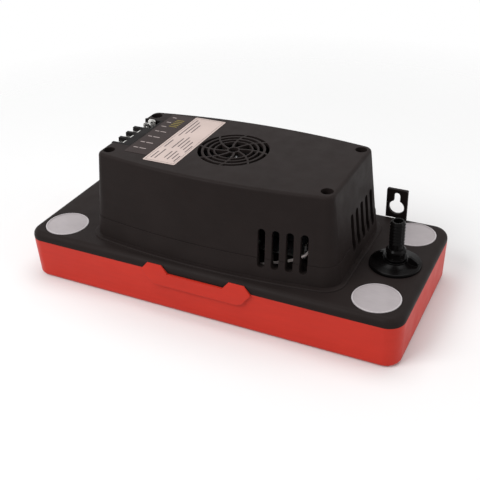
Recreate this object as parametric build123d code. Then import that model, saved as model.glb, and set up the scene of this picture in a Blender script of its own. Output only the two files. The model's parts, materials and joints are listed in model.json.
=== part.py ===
from build123d import *
import math
import os

# A low condensate pump: a red tank, a black deck that lifts off it, and a motor under a vented cover.
# X runs along the tank, Y to the back and Z up. The origin is the middle of the tank's underside.
# All sizes are in millimetres.

# Fits
LIFT_GAP = 0.3          # between pieces that lift, turn or swing apart
SCREW_GAP = 0.05        # radial gap round a screw or a pressed piece
BEARING_GAP = 0.05      # radial gap of a running shaft or pin
SLIDE_GAP = 0.08        # radial gap of the push rod in its guide
OVERCUT = 1.0           # how far a cutter stands out past a face
ROOT = 0.5              # how far a blade or rib is rooted in its hub

# Tank
TANK_LENGTH = 292.0
TANK_WIDTH = 128.0
TANK_HEIGHT = 32.5
TANK_CORNER = 12.0
TANK_WALL = 2.5
TANK_FLOOR = 2.5
TANK_DRAFT = 0.9        # how far each wall leans in from rim to floor
TANK_FOOT_ROUND = 3.5

# Latch panel on the tank's front
LATCH_PROUD = 2.0
LATCH_HALF = 43.0       # middle of the tank to the panel's pointed end
LATCH_FOOT_HALF = 32.5
LATCH_DEPTH = 10.5      # below the tank's rim
LATCH_BEVEL = 4.0
TAB_RISE = 6.0          # above the tank's rim
TAB_INNER = 21.5
TAB_SLOPE = 5.0
TAB_TIP_LEAN = 1.0

# Deck
DECK_RISE = 6.5         # deck's top above the tank's rim
DECK_THICK = 3.0
DECK_ROUND = 5.0
SKIRT_WALL = 2.5
LIP_WALL = 1.8
LIP_DEPTH = 4.0         # how far the locating lip reaches into the tank

# Motor housing: the deck's low wall and the cover above it
HOUSING_X = 1.0
COVER_TOP = 104.2
SEAM_Z = 55.0
TOP_LENGTH = 179.5
TOP_MID_WIDTH = 98.0
TOP_END_WIDTH = 81.0
TOP_CORNER = 6.5
HOUSING_LEAN = 0.10     # mm outwards for each mm down
COVER_WALL = 2.5
COVER_ROUND = 2.6
SEAM_STEP = 0.4         # cover's wall stands back from the deck's wall
PLINTH_MARGIN = 3.2
PLINTH_RISE = 1.2
PLINTH_ROUND = 1.0
TONGUE_RISE = 2.5
TONGUE_WALL = 1.2

# Air slots
SLOT_WIDTH = 5.2
SLOT_PITCH = 9.75
SLOT_LOW = 48.0
SLOT_HIGH = 76.5
FRONT_SLOTS = 4
FRONT_SLOT_FIRST = 45.1
END_SLOTS = 5
END_SLOT_FIRST = -9.3

# Fan grille
GRILLE_RADIUS = 25.6
GRILLE_GAPS = [(25.6, 23.0), (21.2, 18.4), (17.0, 14.2), (13.0, 4.6)]
GRILLE_EYE = 3.5
GRILLE_SPOKES = 8
GRILLE_SPOKE_WIDTH = 1.5
GRILLE_SPOKE_TURN = 3.0
GRILLE_SWIRL = 32.0

# Cover screws
WELL_X = 83.0
WELL_Y = 33.0
WELL_RADIUS = 4.2
WELL_WALL = 1.8
WELL_FLOOR = 3.0
COVER_SCREW_RADIUS = 1.7
COVER_SCREW_HEAD = 3.5
COVER_SCREW_LENGTH = 15.0
SCREW_HEAD_HEIGHT = 2.4
POST_RADIUS = 5.0

# Terminals
BLOCK_FRONT = -21.5
BLOCK_BACK = 26.3
BLOCK_INNER_X = -72.0
BLOCK_DEPTH = 8.7
BLOCK_SHELF = 2.0
BLOCK_GAP = 0.15
BLOCK_SET_BACK = 0.6    # the block's end stands back from the cover's end wall
BAYS = 3
BAY_FIRST = -15.7
BAY_PITCH = 9.75
BAY_WIDTH = 6.8
BAY_DEPTH = 3.2
BAY_INNER_X = -79.0
POCKET_FRONT = 10.0
POCKET_DEPTH = 6.6
POCKET_WALL = 1.5
BLADE_WIDTH = 6.3
BLADE_THICK = 0.8
BLADE_REACH = 8.0
BLADE_HOLE = 0.9
BLADE_HOLE_INSET = 2.5
BLADE_ROOT_LENGTH = 1.6
BLADE_ROOT_HEIGHT = 2.4
BLADE_BEVEL = 1.2
UPRIGHTS = 2
UPRIGHT_X = -81.0
UPRIGHT_FIRST = 16.3
UPRIGHT_PITCH = 7.2
UPRIGHT_HEIGHT = 7.4

# Inlets and their caps
INLET_X = 123.3
INLET_Y = 43.0
INLET_RADIUS = 14.5
INLET_COLLAR_WALL = 2.0
INLET_COLLAR_DEPTH = 5.0  # below the deck's plate
CAP_RADIUS = 16.35
CAP_THICK = 1.2
CAP_SEAT_DEPTH = 1.0
CAP_PLUG_WALL = 1.5
CAP_PLUG_DEPTH = 5.5
CAP_RIM = 1.1
CAP_DISH = 0.3
CAP_ROUND = 0.4

# Hanging tabs at the back
HANGER_X = 104.2
HANGER_WIDTH = 15.8
HANGER_LOW = 38.8
HANGER_HIGH = 62.4
HANGER_THICK = 2.5
HANGER_NECK = 8.0
HANGER_ROUND = 0.8
KEYHOLE_RADIUS = 5.8
KEYHOLE_Z = 47.7
KEYHOLE_SLOT = 4.8
KEYHOLE_TOP = 59.8

# Discharge check valve
VALVE_X = 122.5
FLANGE_RADIUS = 18.0
FLANGE_THICK = 2.4
FLANGE_ROUND = 1.0
FLANGE_CONE = 4.0       # skirt at the collar's foot, beyond the collar
FLANGE_CONE_RISE = 1.2
COLLAR_RING = 1.2       # how far the ring at the collar's foot stands out
COLLAR_RING_RISE = 2.6
COLLAR_TAPER = 2.0
COLLAR_TAPER_IN = 1.4
NECK_RADIUS = 5.4
COLLAR_RADIUS = 7.8
COLLAR_TOP = 52.5
BARB_TOP = 73.3
BARB_RADIUS = 5.6
BARB_ROOT = 5.0
BARB_COUNT = 7
BARB_PITCH = 2.4
BARB_BORE = 3.2
SPIGOT_RADIUS = 9.0
SPIGOT_DEPTH = 8.0
SOCKET_WALL = 2.4
SOCKET_FLOOR = 2.0
LUG_REACH = 1.8
LUG_HEIGHT = 2.0
LUG_ANGLE = 50.0
LUG_DROP = 3.4
KEYWAY_SLACK = 6.0      # degrees that a keyway is wider than its lug
STUB_LENGTH = 4.0       # hose stub below the hose's top
VALVE_TURN = 60.0
PORT_RADIUS = 2.6
SEAL_RADIUS = 0.9       # section of the ring seal
SEAL_DROP = 6.8
BALL_RADIUS = 3.5
CHAMBER_RADIUS = 5.0
SEAT_Z = 36.0
BALL_LIFT = 3.0
WING_REACH = 16.0
WING_THICK = 2.6
WING_TOP = 49.0
WING_TOE = 2.0
CAGE_RIBS = 3
CAGE_RIB_THICK = 1.4
CAGE_RIB_INNER = 1.6
CAGE_HEIGHT = 2.5       # ribs above the ball's stop

# Motor
STACK_LOW = 60.0
STACK_HEIGHT = 20.0
STACK_HALF_WIDTH = 24.0
STACK_LEFT = 21.0       # motor axis to the stack's left end
STACK_RIGHT = 51.0      # motor axis to the stack's right end
STACK_ROUND = 3.0
LIMB_WIDTH = 14.0
WINDOW_LENGTH = 14.0
WINDOW_HALF_WIDTH = 15.0
ROTOR_RADIUS = 13.3
AIR_GAP = 0.3
COIL_BUILD = 9.0        # winding thickness round the limb
COIL_ROUND = 4.0
BOBBIN_WALL = 1.2
BOBBIN_RIM = 1.0        # how far the bobbin's ends stand out past the winding
SHAFT_RADIUS = 2.5
BUSH_RADIUS = 4.6
BUSH_LENGTH = 6.5
BRIDGE_RISE = 8.0
BRIDGE_THICK = 2.2
BRIDGE_WIDTH = 13.0
BRIDGE_FOOT = 3.0       # foot beyond the bolt
BRIDGE_BOSS = 3.0       # crown beyond the bush
BUSH_WALL = 2.0
BOLT_Y = 19.0
BOLT_RADIUS = 1.75
BOLT_HEAD = 3.2
BOLT_END = 1.5          # thread below the bracket
SPACER_WALL = 2.0
BRACKET_Z = 47.0
BRACKET_THICK = 1.5
BRACKET_LEFT = 34.0
BRACKET_RIGHT = 68.0
BRACKET_HALF_WIDTH = 30.0
BRACKET_FLANGE = 9.0
BRACKET_HOLE = 9.0
STANDOFF_X = 28.0
STANDOFF_Y = 24.0
STANDOFF_RADIUS = 3.6
SMALL_SCREW_RADIUS = 1.4
SMALL_SCREW_HEAD = 2.6
SMALL_HEAD_HEIGHT = 1.8
SMALL_SCREW_LENGTH = 8.0
FAN_LOW = 90.5
FAN_HEIGHT = 7.0
FAN_RADIUS = 27.0
FAN_BLADES = 9
FAN_PLATE = 1.2
FAN_BLADE_THICK = 1.2
FAN_HUB = 5.5
FAN_SWEEP = 30.0
SHAFT_TOP = 98.5

# Shaft opening in the deck
SHAFT_HOLE = 5.0
SHAFT_DAM_WALL = 2.0
SHAFT_DAM_RISE = 3.0
SLINGER_RADIUS = 8.0
SLINGER_Z = 43.0
SLINGER_THICK = 2.0

# Pump
VOLUTE_FLOOR = 7.0
VOLUTE_ROOM = 9.0
VOLUTE_RADIUS = 21.0
VOLUTE_WALL = 2.2
COLUMN_RADIUS = 11.0
COLUMN_WALL = 2.5
COLUMN_WINDOWS = 3
COLUMN_WINDOW_WIDTH = 9.0
COLUMN_WINDOW_MARGIN = 2.0
COLUMN_WINDOW_TURN = 30.0
PUMP_FLANGE_RADIUS = 19.0
PUMP_FLANGE_THICK = 3.0
PUMP_SCREW_CIRCLE = 15.0
PUMP_SCREWS = 3
PUMP_SCREW_LENGTH = 5.4
IMPELLER_RADIUS = 17.0
IMPELLER_LOW = 8.4
IMPELLER_HEIGHT = 6.0
IMPELLER_BLADES = 6
IMPELLER_PLATE = 1.4
IMPELLER_HUB = 4.5
IMPELLER_SWEEP = 50.0
SUCTION_PLATE = 2.4
SUCTION_RADIUS = 7.0
SUCTION_FEET = 8
FOOT_LENGTH = 1.6
FOOT_REACH = 4.0
FOOT_WIDTH = 5.0
FOOT_INSET = 1.0
NOZZLE_Y = 16.0
NOZZLE_Z = 11.5
NOZZLE_RADIUS = 3.7
NOZZLE_BORE = 2.6
NOZZLE_END = 32.0       # from the motor axis
NOZZLE_ROOT_RADIUS = 4.4
HOSE_RADIUS = 5.3
HOSE_START = 24.0       # from the motor axis
HOSE_TURN_RADIUS = 38.0
HOSE_ELBOW_RADIUS = 10.0
HOSE_TOP = 28.5
HOSE_FIRST_RUN = 41.0   # straight on from the nozzle to the sideways bend
HOSE_LAST_RUN = 23.0    # level run back under the valve

# Float and level switches
PIVOT_X = -40.0
PIVOT_Z = 29.0
PIVOT_PIN_RADIUS = 1.5
PIVOT_BARREL = 3.4
LUG_THICK = 3.0
ARM_WIDTH = 8.0
ARM_THICK = 3.0
ARM_FLAT = 5.0          # flat under the push rod, beyond the rod
ARM_REST = 4.0          # where the arm meets the float's top, in from its end
ARM_INSET = 8.0         # arm's free end, in from the float's far end
PAD_INSET = 10.0        # pad under the arm, in from the float's ends
FLOAT_LEFT = -108.0
FLOAT_RIGHT = -66.0
FLOAT_HALF_WIDTH = 25.0
FLOAT_LOW = 5.0
FLOAT_HEIGHT = 14.0
FLOAT_ROUND = 3.0
ROD_OFFSET = 14.0       # push rod from the pivot
ROD_RADIUS = 1.8
ROD_GUIDE_WALL = 2.2
ROD_GUIDE_TOP = 46.0
ROD_GUIDE_DROP = 1.5
SWITCH_LENGTH = 27.8
SWITCH_HEIGHT = 15.9
SWITCH_WIDTH = 10.3
SWITCH_LEFT = -72.0
SWITCH_LOW = 62.0
SWITCH_APART = 4.2      # half the space between the two switches
SWITCH_HOLE_RADIUS = 1.55
SWITCH_SCREW_RADIUS = 1.5
SWITCH_SCREW_INSET = 3.0
SWITCH_SCREW_END = 2.5
SWITCH_NUT = 2.0
SWITCH_TAGS = 3
SWITCH_TAG_FIRST = 4.0
SWITCH_TAG_PITCH = 9.0
SWITCH_TAG_HEIGHT = 6.0
SPACER_RING = 1.4       # wall of the tubes between the switches
LEVER_LENGTH = 24.0
LEVER_WIDTH = 4.2
LEVER_THICK = 0.6
LEVER_DROOP = 10.0      # degrees below level at rest
LEVER_BARREL = 1.3
LEVER_PIN = 0.7
LEVER_SIDE_GAP = 0.15
EAR_THICK = 1.2
EAR_HALF = 1.4
LEVER_PIVOT_INSET = 2.0
LEVER_PIVOT_DROP = 1.6
OVERFLOW_STEP = 2.6     # lower shoulder of the push rod
CROSSBAR_THICK = 2.0
CROSSBAR_WIDTH = 4.0
SWITCH_PLATE_THICK = 1.5
SWITCH_PLATE_MARGIN = 1.0
SWITCH_FOOT_DEPTH = 13.0
SWITCH_FOOT_SCREW = 8.0  # from the plate's front face
SWITCH_FOOT_INSET = 5.0
SWITCH_PAD_RISE = 2.0

# Mains cord inlet
GROMMET_X = -40.0
GROMMET_Z = 66.0
GROMMET_RADIUS = 5.5
GROMMET_FLANGE = 7.5
GROMMET_FLANGE_THICK = 2.0
GROMMET_BORE = 3.6
GROMMET_BOSS = 9.5
GROMMET_FACE_Y = 53.0
GROMMET_LENGTH = 10.0   # from the boss's face to the bush's inner end

# Places worked out from the sizes above
DECK_TOP = TANK_HEIGHT + DECK_RISE
DECK_UNDER = DECK_TOP - DECK_THICK
COVER_UNDER = COVER_TOP - COVER_WALL
MOTOR_X = HOUSING_X
TANK_HALF = TANK_LENGTH / 2
TANK_HALF_WIDTH = TANK_WIDTH / 2
STACK_TOP = STACK_LOW + STACK_HEIGHT
LIMB_LEFT = MOTOR_X + STACK_RIGHT - LIMB_WIDTH
ROD_X = PIVOT_X - ROD_OFFSET
SCREW_SPOTS = [(HOUSING_X + sx * WELL_X, sy * WELL_Y) for sx in (-1, 1) for sy in (-1, 1)]
STANDOFFS = [(MOTOR_X + sx * STANDOFF_X, sy * STANDOFF_Y) for sx in (-1, 1) for sy in (-1, 1)]
INLETS = {
    "front_left": (-INLET_X, -INLET_Y),
    "front_right": (INLET_X, -INLET_Y),
    "rear_left": (-INLET_X, INLET_Y),
    "rear_right": (INLET_X, INLET_Y),
}


def block(x0, x1, y0, y1, z0, z1):
    """A box given by its faces."""
    middle = Pos((x0 + x1) / 2, (y0 + y1) / 2, (z0 + z1) / 2)
    return middle * Box(x1 - x0, y1 - y0, z1 - z0)


def rod(radius, z0, z1, x=0.0, y=0.0):
    """An upright cylinder."""
    return Pos(x, y, (z0 + z1) / 2) * Cylinder(radius, z1 - z0)


def tube(outer, inner, z0, z1, x=0.0, y=0.0):
    """An upright pipe."""
    return rod(outer, z0, z1, x, y) - rod(inner, z0, z1, x, y)


def rod_y(radius, y0, y1, x, z):
    """A cylinder lying front to back."""
    return Pos(x, (y0 + y1) / 2, z) * Rot(90, 0, 0) * Cylinder(radius, y1 - y0)


def rod_x(radius, x0, x1, y, z):
    """A cylinder lying along the tank."""
    return Pos((x0 + x1) / 2, y, z) * Rot(0, 90, 0) * Cylinder(radius, x1 - x0)


def slab(length, width, corner, z0, z1):
    """A plate with rounded corners, centred on the tank."""
    return extrude(Pos(0, 0, z0) * RectangleRounded(length, width, corner), z1 - z0)


def polar(radius, angle):
    """A point in plan, by radius and degrees."""
    turn = math.radians(angle)
    return (radius * math.cos(turn), radius * math.sin(turn))


def barrel(half_length, half_middle, half_end, corner):
    """Plan outline with bowed long sides and straight short ends."""
    front = ThreePointArc((-half_length, -half_end), (0, -half_middle), (half_length, -half_end))
    right = Line((half_length, -half_end), (half_length, half_end))
    back = ThreePointArc((half_length, half_end), (0, half_middle), (-half_length, half_end))
    left = Line((-half_length, half_end), (-half_length, -half_end))
    face = make_face(front + right + back + left)
    return fillet(face.vertices(), corner)


def housing_section(z, inset=0.0):
    """The housing's outline at a height, set in by a wall or a step."""
    grow = (COVER_TOP - z) * HOUSING_LEAN - inset
    corner = max(TOP_CORNER + grow, 1.0)
    outline = barrel(TOP_LENGTH / 2 + grow, TOP_MID_WIDTH / 2 + grow, TOP_END_WIDTH / 2 + grow, corner)
    return Pos(HOUSING_X, 0, z) * outline


def housing_loft(z0, z1, inset=0.0):
    """The housing's leaning block between two heights."""
    return loft([housing_section(z0, inset), housing_section(z1, inset)], ruled=True)


def screw(radius, head_radius, length, head_height, z, x=0.0, y=0.0):
    """A pan head screw whose head rests at height z."""
    head = rod(head_radius, z, z + head_height, x, y)
    head = fillet(head.edges().group_by(Axis.Z)[-1], head_height / 3)
    return head + rod(radius, z - length, z, x, y)


def air_slots():
    """Cutters for the slots in the front and right walls."""
    height = SLOT_HIGH - SLOT_LOW
    middle = (SLOT_HIGH + SLOT_LOW) / 2
    outline = Rot(0, 0, 90) * SlotOverall(height, SLOT_WIDTH)
    front_reach = TOP_MID_WIDTH / 2 - TOP_END_WIDTH / 2 + 4 * COVER_WALL
    end_reach = 2 * COVER_WALL
    front_face = -(TOP_MID_WIDTH / 2 + (COVER_TOP - SLOT_LOW) * HOUSING_LEAN + LIFT_GAP)
    end_face = HOUSING_X + TOP_LENGTH / 2 + (COVER_TOP - SLOT_LOW) * HOUSING_LEAN + LIFT_GAP
    cutters = []
    for number in range(FRONT_SLOTS):
        spot = (FRONT_SLOT_FIRST + number * SLOT_PITCH, front_face, middle)
        place = Plane(spot, x_dir=(1, 0, 0), z_dir=(0, -1, 0))
        cutters.append(extrude(place * outline, -front_reach))
    for number in range(END_SLOTS):
        spot = (end_face, END_SLOT_FIRST + number * SLOT_PITCH, middle)
        place = Plane(spot, x_dir=(0, 1, 0), z_dir=(1, 0, 0))
        cutters.append(extrude(place * outline, -end_reach - (SLOT_HIGH - SLOT_LOW) * HOUSING_LEAN))
    return cutters


def grille_openings():
    """Cutters for the rings of the fan grille, with swirled spokes left between them."""
    z0 = COVER_UNDER - OVERCUT
    height = COVER_TOP - z0 + OVERCUT
    spokes = []
    for number in range(GRILLE_SPOKES):
        outer = GRILLE_SPOKE_TURN + number * 360 / GRILLE_SPOKES
        start = polar(GRILLE_EYE, outer + GRILLE_SWIRL)
        middle = polar(GRILLE_RADIUS / 2, outer + GRILLE_SWIRL / 2)
        end = polar(GRILLE_RADIUS + OVERCUT, outer)
        spokes.append(trace(ThreePointArc(start, middle, end), GRILLE_SPOKE_WIDTH))
    opening = Circle(GRILLE_EYE)
    for outer, inner in GRILLE_GAPS:
        ring = Circle(outer) - Circle(inner)
        opening += ring - spokes
    return extrude(Pos(MOTOR_X, 0, z0) * opening, height)


def tank():
    """Open red tray with the latch panel on its front wall."""
    floor_length = TANK_LENGTH - 2 * TANK_DRAFT
    floor_width = TANK_WIDTH - 2 * TANK_DRAFT
    outer = loft([
        RectangleRounded(floor_length, floor_width, TANK_CORNER - TANK_DRAFT),
        Pos(0, 0, TANK_HEIGHT) * RectangleRounded(TANK_LENGTH, TANK_WIDTH, TANK_CORNER),
    ], ruled=True)
    outer = fillet(outer.faces().sort_by(Axis.Z)[0].edges(), TANK_FOOT_ROUND)
    wall = 2 * TANK_WALL
    inner = loft([
        Pos(0, 0, TANK_FLOOR) * RectangleRounded(
            floor_length - wall, floor_width - wall, TANK_CORNER - TANK_DRAFT - TANK_WALL),
        Pos(0, 0, TANK_HEIGHT) * RectangleRounded(
            TANK_LENGTH - wall, TANK_WIDTH - wall, TANK_CORNER - TANK_WALL),
    ], ruled=True)
    inner = fillet(inner.faces().sort_by(Axis.Z)[0].edges(), TANK_FOOT_ROUND / 2)
    return outer - inner + latch_panel()


def latch_panel():
    """Raised panel whose two tabs stand in front of the deck's rim."""
    low = TANK_HEIGHT - LATCH_DEPTH
    tip = TANK_HEIGHT + TAB_RISE
    half = [
        (TAB_INNER, TANK_HEIGHT),
        (TAB_INNER + TAB_SLOPE, tip),
        (LATCH_HALF - TAB_SLOPE, tip),
        (LATCH_HALF, TANK_HEIGHT),
        (LATCH_FOOT_HALF + LATCH_BEVEL, low + LATCH_BEVEL / 2),
        (LATCH_FOOT_HALF, low),
    ]
    outline = half + [(-x, z) for x, z in reversed(half)]
    face = make_face(Polyline(*outline, close=True))
    front = -(TANK_HALF_WIDTH + LATCH_PROUD)
    place = Plane((0, front, 0), x_dir=(1, 0, 0), z_dir=(0, -1, 0))
    panel = extrude(place * face, -(LATCH_PROUD + TANK_WALL / 2))
    behind_tabs = block(-TANK_HALF, TANK_HALF, -TANK_HALF_WIDTH - LIFT_GAP, -TANK_HALF_WIDTH + TANK_WALL,
                        TANK_HEIGHT, tip + OVERCUT)
    slope = Polyline((front - OVERCUT, TANK_HEIGHT), (front, TANK_HEIGHT), (front + TAB_TIP_LEAN, tip),
                     (front + TAB_TIP_LEAN, tip + OVERCUT), (front - OVERCUT, tip + OVERCUT), close=True)
    lean = extrude(Plane.YZ * make_face(slope), TANK_HALF, both=True)
    return panel - behind_tabs - lean


def hanger_neck(side, gap=0.0):
    """The part of a hanging tab that sits in the deck's back rim, grown by a gap for its notch."""
    outer_edge = side * (HANGER_X + HANGER_WIDTH / 2 + gap)
    inner_edge = side * (HANGER_X + HANGER_WIDTH / 2 - HANGER_NECK - gap)
    x0, x1 = sorted((outer_edge, inner_edge))
    return block(x0, x1, TANK_HALF_WIDTH - HANGER_THICK, TANK_HALF_WIDTH, DECK_TOP - DECK_ROUND, HANGER_LOW)


def hanger(side):
    """Keyhole tab that stands up from the deck's back edge."""
    back = TANK_HALF_WIDTH
    front = back - HANGER_THICK
    x = side * HANGER_X
    plate = block(x - HANGER_WIDTH / 2, x + HANGER_WIDTH / 2, front, back, HANGER_LOW, HANGER_HIGH)
    plate = fillet(plate.edges().filter_by(Axis.Y).group_by(Axis.Z)[-1], HANGER_ROUND)
    y0, y1 = (front - OVERCUT, back + OVERCUT)
    half = KEYHOLE_SLOT / 2
    keyhole = rod_y(KEYHOLE_RADIUS, y0, y1, x, KEYHOLE_Z)
    keyhole += rod_y(half, y0, y1, x, KEYHOLE_TOP - half)
    keyhole += block(x - half, x + half, y0, y1, KEYHOLE_Z, KEYHOLE_TOP - half)
    return plate + hanger_neck(side) - keyhole


def deck_shell():
    """Lid plate with its rounded rim, skirt and locating lip."""
    shell = slab(TANK_LENGTH, TANK_WIDTH, TANK_CORNER, TANK_HEIGHT, DECK_TOP)
    shell = fillet(shell.faces().sort_by(Axis.Z)[-1].edges(), DECK_ROUND)
    inside = 2 * SKIRT_WALL
    shell -= slab(TANK_LENGTH - inside, TANK_WIDTH - inside, TANK_CORNER - SKIRT_WALL,
                  TANK_HEIGHT, DECK_UNDER)
    lip_out = 2 * (TANK_WALL + LIFT_GAP)
    lip_in = lip_out + 2 * LIP_WALL
    low = TANK_HEIGHT - LIP_DEPTH
    lip = slab(TANK_LENGTH - lip_out, TANK_WIDTH - lip_out, TANK_CORNER - lip_out / 2, low, DECK_UNDER)
    lip -= slab(TANK_LENGTH - lip_in, TANK_WIDTH - lip_in, TANK_CORNER - lip_in / 2, low, DECK_UNDER)
    return shell + lip


def deck_housing():
    """Plinth and low wall that the motor cover stands on."""
    grow = (COVER_TOP - DECK_TOP) * HOUSING_LEAN + PLINTH_MARGIN
    edge = barrel(TOP_LENGTH / 2 + grow, TOP_MID_WIDTH / 2 + grow, TOP_END_WIDTH / 2 + grow,
                  TOP_CORNER + grow)
    plinth = extrude(Pos(HOUSING_X, 0, DECK_TOP) * edge, PLINTH_RISE)
    plinth = fillet(plinth.faces().sort_by(Axis.Z)[-1].edges(), PLINTH_ROUND)
    wall = plinth + housing_loft(DECK_TOP, SEAM_Z)
    tongue_inset = COVER_WALL + SEAM_STEP + LIFT_GAP
    wall += housing_loft(SEAM_Z, SEAM_Z + TONGUE_RISE, tongue_inset)
    wall -= housing_loft(DECK_TOP, SEAM_Z + TONGUE_RISE, tongue_inset + TONGUE_WALL)
    return wall


def valve_socket():
    """Socket under the deck for the twist-in check valve, with the hose stub below it."""
    bore = SPIGOT_RADIUS + LIFT_GAP
    groove = SPIGOT_RADIUS + LUG_REACH + LIFT_GAP
    outer = groove + SOCKET_WALL
    low = DECK_TOP - SPIGOT_DEPTH - LIFT_GAP - SOCKET_FLOOR
    body = rod(outer, low, DECK_UNDER)
    body += rod(NOZZLE_RADIUS, HOSE_TOP - STUB_LENGTH, low)
    room = rod(bore, low + SOCKET_FLOOR, DECK_TOP)
    groove_low = DECK_TOP - LUG_DROP - LUG_HEIGHT - LIFT_GAP
    groove_top = DECK_TOP - LUG_DROP + LIFT_GAP
    room += rod(groove, groove_low, groove_top)
    for turn in (0, 180):
        keyway = sector(groove, bore - ROOT, LUG_ANGLE + KEYWAY_SLACK, groove_low, DECK_TOP)
        room += Rot(0, 0, VALVE_TURN + turn) * keyway
    room += rod(PORT_RADIUS, HOSE_TOP - STUB_LENGTH, low + SOCKET_FLOOR)
    return Pos(VALVE_X, 0, 0) * body, Pos(VALVE_X, 0, 0) * room


def sector(outer, inner, angle, z0, z1):
    """Part of an upright ring, centred on the X axis."""
    a = polar(inner, -angle / 2)
    b = polar(outer, -angle / 2)
    c = polar(outer, angle / 2)
    d = polar(inner, angle / 2)
    edges = Line(a, b) + ThreePointArc(b, (outer, 0), c) + Line(c, d) + ThreePointArc(d, (inner, 0), a)
    return extrude(Pos(0, 0, z0) * make_face(edges), z1 - z0)


def deck():
    """Black lid that carries the motor, the pump and the level control."""
    body = deck_shell() + deck_housing()
    socket, socket_room = valve_socket()
    body += socket
    for x, y in INLETS.values():
        body += rod(INLET_RADIUS + INLET_COLLAR_WALL, DECK_UNDER - INLET_COLLAR_DEPTH, DECK_UNDER, x, y)
    for x, y in SCREW_SPOTS:
        body += rod(POST_RADIUS, DECK_TOP, SEAM_Z, x, y)
    for x, y in STANDOFFS:
        body += rod(STANDOFF_RADIUS, DECK_TOP, BRACKET_Z, x, y)
    body += rod(SHAFT_HOLE + SHAFT_DAM_WALL, DECK_TOP, DECK_TOP + SHAFT_DAM_RISE, MOTOR_X)
    guide = ROD_RADIUS + SLIDE_GAP
    body += rod(guide + ROD_GUIDE_WALL, DECK_UNDER - ROD_GUIDE_DROP, ROD_GUIDE_TOP, ROD_X)
    for side in (-1, 1):
        inner = ARM_WIDTH / 2 + LIFT_GAP
        y0, y1 = sorted((side * inner, side * (inner + LUG_THICK)))
        lug = block(PIVOT_X - PIVOT_BARREL, PIVOT_X + PIVOT_BARREL, y0, y1, PIVOT_Z, DECK_UNDER)
        lug += rod_y(PIVOT_BARREL, y0, y1, PIVOT_X, PIVOT_Z)
        body += lug - rod_y(PIVOT_PIN_RADIUS + SCREW_GAP, y0, y1, PIVOT_X, PIVOT_Z)
    for x, y in switch_plate_feet():
        body += rod(STANDOFF_RADIUS, DECK_TOP, DECK_TOP + SWITCH_PAD_RISE, x, y)

    body -= socket_room
    for side in (-1, 1):
        body -= hanger_neck(side, SCREW_GAP)
    for x, y in INLETS.values():
        body -= rod(INLET_RADIUS, DECK_UNDER - INLET_COLLAR_DEPTH, DECK_TOP, x, y)
        body -= rod(CAP_RADIUS + LIFT_GAP, DECK_TOP - CAP_SEAT_DEPTH, DECK_TOP, x, y)
    for x, y in SCREW_SPOTS:
        body -= rod(COVER_SCREW_RADIUS + SCREW_GAP, SEAM_Z - COVER_SCREW_LENGTH, SEAM_Z, x, y)
    for x, y in STANDOFFS:
        body -= rod(SMALL_SCREW_RADIUS + SCREW_GAP, BRACKET_Z - SMALL_SCREW_LENGTH, BRACKET_Z, x, y)
    for x, y in switch_plate_feet():
        body -= rod(SMALL_SCREW_RADIUS + SCREW_GAP, DECK_UNDER, DECK_TOP + SWITCH_PAD_RISE, x, y)
    for x, y in pump_screw_spots():
        body -= rod(SMALL_SCREW_RADIUS + SCREW_GAP, DECK_UNDER, DECK_TOP, x, y)
    body -= rod(SHAFT_HOLE, DECK_UNDER, DECK_TOP + SHAFT_DAM_RISE, MOTOR_X)
    body -= rod(guide, DECK_UNDER - ROD_GUIDE_DROP, ROD_GUIDE_TOP, ROD_X)
    for cutter in air_slots():
        body -= cutter
    return body


def grommet_boss(y0):
    """Flat round pad on the cover's back wall for the cord inlet."""
    return rod_y(GROMMET_BOSS, y0, GROMMET_FACE_Y, GROMMET_X, GROMMET_Z)


def motor_cover():
    """Vented upper housing, open below."""
    outer = housing_loft(SEAM_Z, COVER_TOP, SEAM_STEP)
    outer = fillet(outer.faces().sort_by(Axis.Z)[-1].edges(), COVER_ROUND)
    outer += grommet_boss(GROMMET_FACE_Y - GROMMET_LENGTH + COVER_WALL)
    body = outer - housing_loft(SEAM_Z, COVER_UNDER, SEAM_STEP + COVER_WALL)
    for x, y in SCREW_SPOTS:
        body += rod(WELL_RADIUS + WELL_WALL, SEAM_Z, COVER_UNDER, x, y)
    left = HOUSING_X - TOP_LENGTH / 2 - (COVER_TOP - SEAM_Z) * HOUSING_LEAN
    tray_low = COVER_TOP - BLOCK_DEPTH - BLOCK_SHELF
    tray = block(left, BLOCK_INNER_X + COVER_WALL, BLOCK_FRONT - COVER_WALL, BLOCK_BACK + COVER_WALL,
                 tray_low, COVER_UNDER)
    body += tray & housing_loft(SEAM_Z, COVER_TOP, SEAM_STEP + COVER_WALL / 2)

    for x, y in SCREW_SPOTS:
        body -= rod(WELL_RADIUS, SEAM_Z + WELL_FLOOR, COVER_TOP, x, y)
        body -= rod(COVER_SCREW_RADIUS + SCREW_GAP, SEAM_Z, SEAM_Z + WELL_FLOOR, x, y)
    body -= block(left, BLOCK_INNER_X, BLOCK_FRONT, BLOCK_BACK, COVER_TOP - BLOCK_DEPTH, COVER_TOP + OVERCUT)
    grommet_end = GROMMET_FACE_Y - GROMMET_LENGTH
    body -= rod_y(GROMMET_RADIUS + SCREW_GAP, grommet_end, GROMMET_FACE_Y, GROMMET_X, GROMMET_Z)
    body -= grille_openings()
    for cutter in air_slots():
        body -= cutter
    return body


def cover_screws():
    """Four screws that hold the cover to the deck's posts."""
    return [screw(COVER_SCREW_RADIUS, COVER_SCREW_HEAD, COVER_SCREW_LENGTH, SCREW_HEAD_HEIGHT,
                  SEAM_Z + WELL_FLOOR, x, y) for x, y in SCREW_SPOTS]


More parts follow.
